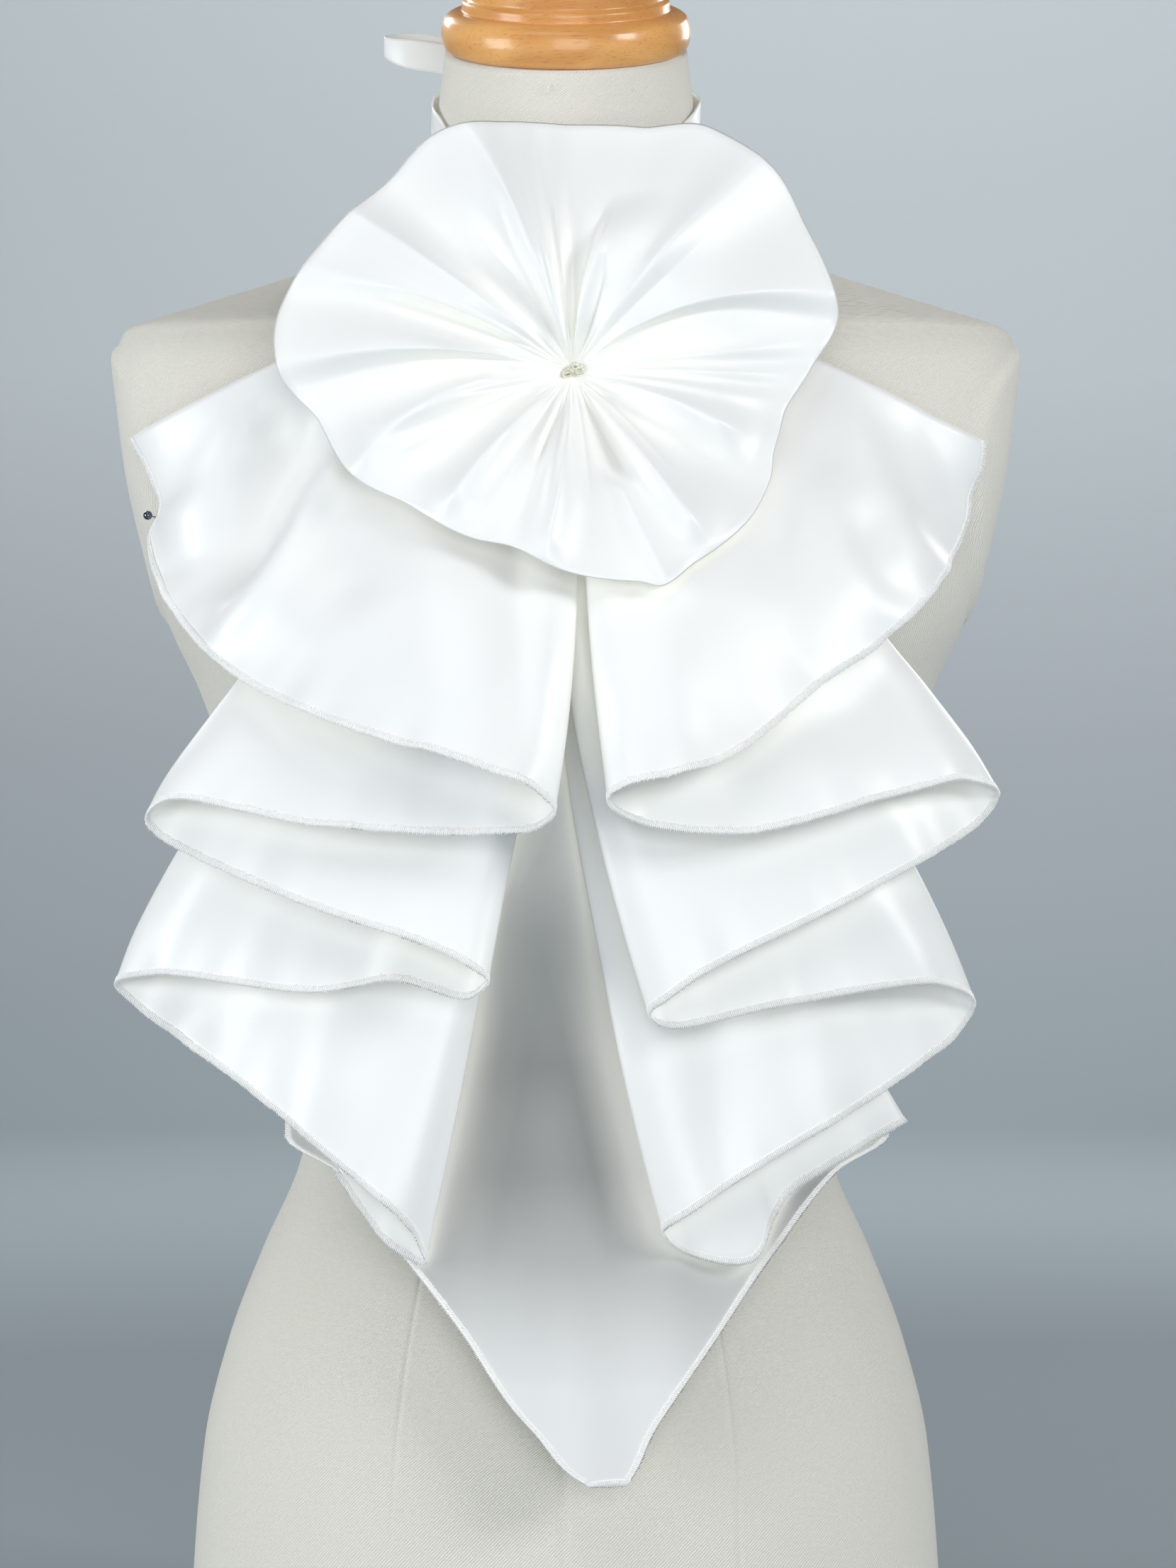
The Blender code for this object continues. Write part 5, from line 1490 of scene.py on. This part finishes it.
@dataclass
class Rosette:
    """Gathered round of doubled satin, tied at its centre."""

    shop: Workshop
    rim: tuple[RimPoint, ...] = ROSETTE_RIM
    petals: tuple[Petal, ...] = PETALS
    pinches: tuple[Pinch, ...] = PINCHES
    centre_x: float = 0.0031
    centre_z: float = 0.5685
    centre_depth: float = 0.120
    rim_depth: float = 0.118
    rim_rise: float = 0.0420
    rim_bend: float = 0.0125
    fall_power: float = 1.2
    puff: float = 0.010
    puff_power: float = 1.5
    pit: float = 0.008
    pit_share: float = 0.13
    gather: float = 0.45
    opening: float = 0.14
    closing: float = 0.25
    lap_edge: float = 1.4
    lap_softening: float = 2.0
    lap_loss: float = 0.20
    crest: float = 1.45
    swell: float = 1.25
    long_folds: int = 19
    long_height: float = 0.0013
    pinching: float = 0.55
    wall: float = 0.0017
    spokes: int = 600
    rings: int = 78
    pleats: int = 46

    def radius(self, angle: np.ndarray) -> np.ndarray:
        """Radius of the rim at some angles, rounded through its table."""
        angles = np.array([point.angle for point in self.rim])
        radii = np.array([point.radius for point in self.rim])
        around = np.concatenate([angles - 360.0, angles, angles + 360.0])
        return monotone(around, np.tile(radii, 3), angle)

    def folds(self, angle: np.ndarray, share: np.ndarray) -> np.ndarray:
        """Height of the broad folds.

        Args:
            angle: Degrees from the right over the top.
            share: Share of the radius.

        Returns:
            The height at each place.
        """
        relief = np.zeros(np.broadcast(angle, share).shape)
        gather = np.minimum(1.0, share / self.gather)
        for petal in self.petals:
            middle = petal.near + (petal.rim - petal.near) * share
            away = (angle - middle + 180.0) % 360.0 - 180.0
            opening = smooth_step(petal.start, petal.start + self.opening, share)
            closing = smooth_step(petal.end - self.closing, petal.end, share)
            if petal.lap == 0:
                profile = np.exp(-((np.abs(away) / petal.spread) ** self.crest))
            else:
                behind = away * petal.lap
                edge = self.lap_edge * (1.0 + self.lap_softening * share * share)
                rise = np.clip((behind + edge) / (2.0 * edge), 0.0, 1.0)
                rise = rise * rise * (3.0 - 2.0 * rise) * (1.0 - self.lap_loss * smooth_step(0.45, 1.0, share))
                profile = rise * np.exp(-((np.maximum(behind, 0.0) / petal.spread) ** 2))
            relief += petal.height * profile * opening * (1.0 - closing) * gather
        return self.swell * relief

    def creases(self, angle: np.ndarray, share: np.ndarray) -> np.ndarray:
        """Depth of the narrow creases and the fine pleats at the gathers.

        Args:
            angle: Degrees from the right over the top.
            share: Share of the radius.

        Returns:
            The height at each place, less than nothing in a crease.
        """
        relief = np.zeros(np.broadcast(angle, share).shape)
        safe = np.maximum(share, 0.02)
        for pinch in self.pinches:
            bend = smooth_step(0.05, 0.60, share)
            middle = pinch.near + (pinch.far - pinch.near) * bend
            away = np.abs((angle - middle + 180.0) % 360.0 - 180.0)
            spread = pinch.spread * (0.20 / safe) ** 0.45
            window = smooth_step(0.02, 0.16, share) * (1.0 - smooth_step(pinch.reach * 0.45, pinch.reach, share))
            relief -= self.pinching * pinch.depth * np.exp(-((away / spread) ** 1.3)) * window
        drift = 9.0 * np.sin(np.radians(angle * 3.0 + 40.0)) + 5.0 * np.sin(np.radians(angle * 7.0))
        phase = np.radians((angle + drift) * self.pleats)
        uneven = 0.55 + 0.45 * np.sin(np.radians(angle * 5.0 + 20.0))
        fine = np.abs(np.sin(phase / 2.0)) ** 0.7 - 0.6
        window = smooth_step(0.015, 0.07, share) * (1.0 - smooth_step(0.10, 0.30 + 0.10 * uneven, share))
        slow = np.radians((angle + 1.6 * drift) * self.long_folds)
        lasting = smooth_step(0.12, 0.34, share) * (1.0 - 0.75 * smooth_step(0.55, 1.0, share))
        long = np.sin(slow) * (0.6 + 0.4 * np.sin(np.radians(angle * 4.0 + 75.0)))
        return relief + 0.0005 * fine * window * uneven + self.long_height * long * lasting

    def depth(self, angle: np.ndarray, share: np.ndarray) -> np.ndarray:
        """Depth of the rosette's front.

        Args:
            angle: Degrees from the right over the top.
            share: Share of the radius.

        Returns:
            How far it stands in front of the form's middle plane.
        """
        upward = np.sin(np.radians(angle))
        rim = self.rim_depth - self.rim_rise * upward + self.rim_bend * upward * upward
        depth = self.centre_depth + (rim - self.centre_depth) * share**self.fall_power
        depth = depth + self.puff * np.maximum(np.sin(math.pi * share), 0.0) ** self.puff_power
        depth = depth - self.pit * np.exp(-((share / self.pit_share) ** 2))
        return depth + self.folds(angle, share) + self.creases(angle, share)

    def place(self, angle: np.ndarray, share: np.ndarray, behind: float = 0.0) -> np.ndarray:
        """Points of the cloth, a distance behind its front."""
        reach = self.radius(angle) * share
        turn = np.radians(angle)
        x = self.centre_x + reach * np.cos(turn)
        z = self.centre_z + reach * np.sin(turn)
        return np.stack([x, -self.depth(angle, share) + behind, z], axis=-1)

    def make_cloth(self) -> bpy.types.Object:
        """Doubled cloth: front, folded rim, and back."""
        angle = np.arange(self.spokes)[:, None] * 360.0 / self.spokes
        share = np.concatenate([np.linspace(0.012, 0.97, self.rings), [0.985, 0.996]])[None]
        front = self.place(angle, share)
        back = self.place(angle, share, self.wall)
        edge = self.place(angle, np.array([[1.004]]), self.wall / 2.0)
        nip = 0.30 * self.wall
        front[:, -1, 1] += nip
        back[:, -1, 1] -= nip
        sheet = np.concatenate([front, edge, back[:, ::-1]], axis=1)
        columns = sheet.shape[1]
        index = np.arange(self.spokes * columns).reshape(self.spokes, columns)
        after = np.roll(index, -1, axis=0)
        quads = np.stack([index[:, :-1], after[:, :-1], after[:, 1:], index[:, 1:]], axis=-1).reshape(-1, 4)
        faces = quads.tolist()
        faces.append(index[:, 0].tolist())
        faces.append(index[::-1, -1].tolist())
        made = self.shop.piece("rosette_satin", sheet.reshape(-1, 3), faces, self.shop.satin)
        return seat(made, Place.SATIN, "rosette")

    def make_stub(self) -> bpy.types.Object:
        """Gathered stub behind the centre, sewn through the cascades."""
        angles = np.linspace(0.0, 2.0 * math.pi, 48, endpoint=False)
        start = -float(self.depth(np.array(0.0), np.array(0.012))) + 0.0004
        rings = []
        for along in np.linspace(0.0, 1.0, 14):
            radius = 0.0125 * (1.0 - 0.10 * math.sin(math.pi * along)) * (1.0 + 0.05 * np.cos(9.0 * angles))
            y = np.full(len(angles), start + 0.0105 * along)
            rings.append(np.stack([self.centre_x + radius * np.cos(angles), y, self.centre_z + radius * np.sin(angles)], axis=1))
        grid = np.array(rings)
        index = np.arange(grid.shape[0] * 48).reshape(-1, 48)
        beside = np.roll(index, -1, axis=1)
        faces = np.stack([index[:-1], beside[:-1], beside[1:], index[1:]], axis=-1).reshape(-1, 4).tolist()
        faces.append(index[0][::-1].tolist())
        faces.append(index[-1].tolist())
        return seat(self.shop.piece("rosette_stub", grid.reshape(-1, 3), faces, self.shop.satin), Place.SATIN)

    def make_knot(self) -> bpy.types.Object:
        """Knotted thread that ties the gathers, two turns side by side."""
        centre = np.array([self.centre_x, -float(self.depth(np.array(0.0), np.array(0.012))) - 0.0006, self.centre_z])
        paths = []
        turns = np.linspace(0.0, 2.0 * math.pi, 26)
        for side, tilt, lift in ((-1.0, 0.35, -0.0009), (1.0, -0.45, 0.0010)):
            for ply in (-0.00045, 0.00045):
                across = side * 0.0021 + 0.0020 * np.cos(turns)
                up = lift + 0.0015 * np.sin(turns) + tilt * 0.0020 * np.cos(turns)
                out = -0.0010 - 0.0006 * np.cos(2.0 * turns + side) + ply
                paths.append(centre + np.stack([across, out, up + 0.6 * ply], axis=1))
        ends = ((-0.0048, -0.0018), (0.0050, 0.0022), (0.0046, -0.0006))
        for end_x, end_z in ends:
            along = np.linspace(0.0, 1.0, 9)
            bend = -0.0012 * np.sin(along * math.pi)
            paths.append(centre + np.stack([end_x * along, bend - 0.0004, end_z * along], axis=1))
        return seat(self.shop.tubes("rosette_knot", paths, 0.00075, 8, self.shop.knot_thread), Place.SATIN)

    def build(self) -> None:
        """Build the rosette and tie it."""
        cloth = self.make_cloth()
        stub = self.make_stub()
        knot = self.make_knot()


@dataclass
class NeckTie:
    """Narrow ribbon round the neck, tied in a bow at the nape."""

    shop: Workshop
    shape: FormShape
    width: float = 0.014
    wall: float = 0.0007
    round_steps: int = 300
    across: int = 9
    strip_steps: int = 26
    bend_share: float = 0.08
    knot_centre: Point = (0.0, 0.0568, 0.7130)
    knot_half: Point = (0.0085, 0.0065, 0.0090)

    def make_ring(self) -> bpy.types.Object:
        """Ribbon round the neck."""
        table = np.array(NECK_RIBBON)
        table = np.vstack([table, [360.0, table[0, 1], table[0, 2]]])
        angles = np.linspace(0.0, 360.0, self.round_steps, endpoint=False)
        heights = monotone(table[:, 0], table[:, 1], angles)
        slacks = monotone(table[:, 0], table[:, 2], angles)
        outer, inner = [], []
        for angle, height, slack in zip(angles, heights, slacks):
            x, y = self.shape.skin(angle, height)
            size = math.hypot(x, y)
            sides = np.linspace(-0.5, 0.5, self.across) * self.width
            clear = max(size, *(float(np.hypot(*self.shape.skin(angle, height + side))) for side in sides[[0, -1]]))
            outer_line, inner_line = [], []
            for side in sides:
                ripple = 0.0002 * math.sin(math.radians(angle) * 17.0 + side * 260.0)
                for line, rise in ((inner_line, slack + 0.0001), (outer_line, slack + 0.0001 + self.wall)):
                    scale = (clear + rise + ripple) / size
                    line.append((x * scale, y * scale, height + side))
            outer.append(outer_line)
            inner.append(inner_line)
        made = self.shop.shell("neck_ribbon_satin", np.array(outer), np.array(inner), True, self.shop.ribbon)
        seat(made, Place.RIBBON, "neck_ribbon")
        return made

    def make_strip(
        self,
        name: str,
        route: tuple[StripPoint, ...],
        width_way: Point,
        pinched: tuple[float, float],
        slant: float,
        rounded: float,
    ) -> bpy.types.Object:
        """Strip of ribbon along a route.

        Args:
            name: Name of the solid that it stands for.
            route: The points that it follows.
            width_way: Direction that its width lies in.
            pinched: Share of the width left at its start and at its end.
            slant: How far one corner of a cut end runs past the other.
            rounded: Share of the width that curls away at the middle of the route.

        Returns:
            The object.
        """
        rows = np.array(route)
        line = through_points(rows, [self.strip_steps] * (len(rows) - 1))
        along = np.gradient(line, axis=0)
        along /= np.linalg.norm(along, axis=1, keepdims=True)
        way = np.asarray(width_way, dtype=float)
        sideways = way - along * (along @ way)[:, None]
        sideways /= np.linalg.norm(sideways, axis=1, keepdims=True)
        normals = np.cross(along, sideways)
        run = path_length(line)
        size = np.ones(len(run))
        for share, distance in ((pinched[0], run), (pinched[1], run[-1] - run)):
            size = size - (1.0 - share) * (1.0 - smooth_step(0.0, 0.016, distance))
        side = np.linspace(-0.5, 0.5, self.across)[None, :, None]
        pleat = np.cos(side * 6.0 * math.pi) * (1.0 - size)[:, None, None]
        size = size * (1.0 - rounded * np.exp(-(((run / run[-1] - 0.5) / self.bend_share) ** 2)))
        middle = line[:, None] + sideways[:, None] * side * self.width * size[:, None, None]
        crown = 0.0005 * (1.0 - (2.0 * side) ** 2) + 0.0012 * pleat
        middle = middle + normals[:, None] * crown
        cut = smooth_step(run[-1] - 0.012, run[-1], run)[:, None, None]
        middle = middle + along[:, None] * side * slant * cut
        half = normals[:, None] * self.wall / 2.0
        made = self.shop.shell(f"{name}_satin", middle + half, middle - half, False, self.shop.ribbon)
        return seat(made, Place.RIBBON, name)

    def make_knot(self) -> bpy.types.Object:
        """Knot of ribbon wrapped over the neck ribbon, creased by the pull."""
        angles = np.linspace(0.0, 2.0 * math.pi, 72, endpoint=False)
        end = math.radians(68.0)
        rings = []
        for tilt in np.linspace(-end, end, 41):
            girth = math.sqrt(math.cos(tilt))
            crease = 1.0 - 0.035 * np.abs(np.sin(angles * 2.5 + 2.0 * tilt)) ** 0.6
            crease = crease - 0.02 * np.cos(angles * 7.0 + 3.0 * tilt)
            x = np.full(len(angles), self.knot_centre[0] + self.knot_half[0] * math.sin(tilt) / math.sin(end))
            y = self.knot_centre[1] + self.knot_half[1] * girth * crease * np.cos(angles)
            z = self.knot_centre[2] + self.knot_half[2] * girth * crease * np.sin(angles)
            rings.append(np.stack([x, y, z], axis=1))
        grid = np.array(rings)
        index = np.arange(len(rings) * 72).reshape(-1, 72)
        beside = np.roll(index, -1, axis=1)
        faces = np.stack([index[:-1], beside[:-1], beside[1:], index[1:]], axis=-1).reshape(-1, 4).tolist()
        faces.append(index[0][::-1].tolist())
        faces.append(index[-1].tolist())
        made = self.shop.piece("bow_knot_satin", grid.reshape(-1, 3), faces, self.shop.ribbon)
        return seat(made, Place.RIBBON, "bow_knot")

    def build(self) -> None:
        """Lay the ribbon round the neck and tie the bow."""
        ring = self.make_ring()
        knot = self.make_knot()
        upright, level = (0.0, 0.0, 1.0), (1.0, 0.0, 0.0)
        strips = (
            ("bow_loop_left", BOW_LOOP_LEFT, upright, (0.60, 0.60), 0.0, 0.172),
            ("bow_loop_right", BOW_LOOP_RIGHT, upright, (0.60, 0.60), 0.0, 0.108),
            ("ribbon_tail_left", TAIL_LEFT, level, (0.45, 1.0), 0.008, 0.135),
            ("ribbon_tail_right", TAIL_RIGHT, level, (0.45, 1.0), -0.008, 0.110),
        )
        for name, route, way, pinched, slant, length in strips:
            held = "folded" if "loop" in name else "hung"
            made = self.make_strip(name, route, way, pinched, slant, 0.35 if held == "folded" else 0.0)


@dataclass
class DressPin:
    """Ball-headed pin that holds the left ruffle's edge to the form."""

    shop: Workshop
    head: Point = (-0.1740, -0.0735, 0.5120)
    foot: Point = (-0.1700, -0.0480, 0.5120)
    radius: float = 0.0019
    shaft: float = 0.00035

    def build(self) -> bpy.types.Object:
        """Build the pin."""
        centre = np.array(self.head)
        angles = np.linspace(0.0, 2.0 * math.pi, 28, endpoint=False)
        aim = np.array(self.foot) - centre
        aim /= np.linalg.norm(aim)
        side = np.cross(aim, [0.0, 0.0, 1.0])
        side /= np.linalg.norm(side)
        up = np.cross(side, aim)
        rings = []
        for tilt in np.linspace(-1.50, 1.32, 20):
            ring = side * np.cos(angles)[:, None] + up * np.sin(angles)[:, None]
            rings.append(centre + self.radius * (aim * math.sin(tilt) + ring * math.cos(tilt)))
        for along in (0.0022, float(np.linalg.norm(np.array(self.foot) - centre))):
            ring = side * np.cos(angles)[:, None] + up * np.sin(angles)[:, None]
            rings.append(centre + aim * along + ring * self.shaft)
        grid = np.array(rings)
        index = np.arange(len(rings) * 28).reshape(-1, 28)
        beside = np.roll(index, -1, axis=1)
        faces = np.stack([index[:-1], beside[:-1], beside[1:], index[1:]], axis=-1).reshape(-1, 4).tolist()
        faces.append(index[0][::-1].tolist())
        faces.append(index[-1].tolist())
        return seat(self.shop.piece("dress_pin", grid.reshape(-1, 3), faces, self.shop.steel), Place.LINEN)


@dataclass
class Studio:
    """Floor, backdrop, lights and camera."""

    shop: Workshop
    floor_radius: float = 3.2
    bend_radius: float = 1.3
    wall_height: float = 2.1
    around: int = 96
    camera_x: float = 0.0095
    camera_distance: float = 1.9
    camera_z: float = 0.400
    view_height: float = 0.68
    sensor: float = 36.0

    def make_backdrop(self) -> None:
        """Round floor that bends up into a low wall on every side."""
        turns = np.linspace(0.0, math.pi / 2.0, 24)
        reach = np.concatenate([[0.5, 1.3], self.floor_radius + self.bend_radius * np.sin(turns)])
        rise = np.concatenate([[0.0, 0.0], self.bend_radius * (1.0 - np.cos(turns))])
        reach, rise = np.append(reach, reach[-1]), np.append(rise, self.wall_height)
        angles = np.linspace(0.0, 2.0 * math.pi, self.around, endpoint=False)
        x, y = reach[:, None] * np.cos(angles), reach[:, None] * np.sin(angles)
        points = np.stack([x, y, np.repeat(rise[:, None], self.around, axis=1)], axis=2)
        index = np.arange(len(reach) * self.around).reshape(len(reach), self.around)
        beside = np.roll(index, -1, axis=1)
        quads = np.stack([index[:-1], beside[:-1], beside[1:], index[1:]], axis=-1).reshape(-1, 4)
        faces = [index[0].tolist(), *quads.tolist()]
        self.shop.piece("studio_backdrop", points.reshape(-1, 3), faces, self.shop.paper)

    def add_light(self, name: str, place: Point, aim: Point, size: float, power: float, colour: Point) -> None:
        """Add a soft square light.

        Args:
            name: The light's name.
            place: Where it stands.
            aim: The point that it is turned to.
            size: Side of its square in metres.
            power: Its power in watts.
            colour: Its colour.
        """
        data = bpy.data.lights.new(name, "AREA")
        data.shape = "SQUARE"
        data.size = size
        data.energy = power
        data.color = colour
        lamp = bpy.data.objects.new(name, data)
        lamp.location = place
        lamp.rotation_euler = (Vector(aim) - Vector(place)).to_track_quat("-Z", "Y").to_euler()
        bpy.context.scene.collection.objects.link(lamp)

    def make_world(self) -> None:
        """Even fill from all round."""
        world = bpy.data.worlds.new("studio_fill")
        world.use_nodes = True
        background = world.node_tree.nodes["Background"]
        background.inputs["Color"].default_value = (0.95, 0.98, 1.0, 1.0)
        background.inputs["Strength"].default_value = 0.125
        bpy.context.scene.world = world
        bpy.context.scene.view_settings.view_transform = "Standard"

    def make_camera(self) -> None:
        """Camera level with the collar, straight in front of it."""
        data = bpy.data.cameras.new("camera")
        data.sensor_width = self.sensor
        data.lens = self.sensor * self.camera_distance / self.view_height
        data.dof.use_dof = False
        camera = bpy.data.objects.new("camera", data)
        camera.location = (self.camera_x, -self.camera_distance, self.camera_z)
        camera.rotation_euler = (math.pi / 2.0, 0.0, 0.0)
        bpy.context.scene.collection.objects.link(camera)
        bpy.context.scene.camera = camera

    def build(self) -> None:
        """Set the stage."""
        self.make_camera()
        self.make_world()
        self.make_backdrop()
        collar = (0.0, -0.1, 0.45)
        wall, nape = (0.1, 4.2, 1.5), (0.0, 0.1, 0.5)
        self.add_light("key_right", (2.30, -1.60, 1.55), collar, 0.9, 38.0, (1.0, 0.995, 0.985))
        self.add_light("low_left", (-2.00, -1.00, 0.55), collar, 1.0, 25.0, (0.99, 0.995, 1.0))
        self.add_light("front_fill", (0.20, -2.15, 0.50), collar, 1.2, 17.0, (0.99, 0.995, 1.0))
        self.add_light("overhead", (-0.40, -1.30, 2.30), collar, 1.3, 9.0, (1.0, 1.0, 1.0))
        self.add_light("wall_wash", (0.30, 2.10, 2.30), wall, 1.2, 52.0, (1.0, 1.0, 1.0))
        self.add_light("back_left", (-1.3, 2.0, 1.9), nape, 0.9, 18.0, (0.98, 0.99, 1.0))
        self.add_light("back_right", (1.5, 2.1, 1.4), nape, 0.9, 13.0, (1.0, 0.99, 0.98))


def main() -> None:
    """Build the stage, the dress form and the collar on it, piece by piece."""
    logging.basicConfig(level=logging.INFO, format="%(name)s %(message)s")
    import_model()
    shop = Workshop()
    shape = FormShape()
    Studio(shop).build()
    DressForm(shop, shape).build()
    NeckTie(shop, shape).build()
    Rosette(shop).build()
    UnderPanel(shop, shape).build()
    Cascade(shop, shape, "cascade_left", LEFT_FOLDS, LEFT_CREASES, (1.05, 0.15), 3).build()
    Cascade(shop, shape, "cascade_right", RIGHT_FOLDS, RIGHT_CREASES, (1.05, 0.15), 5).build()
    DressPin(shop).build()


if __name__ == "__main__":
    main()
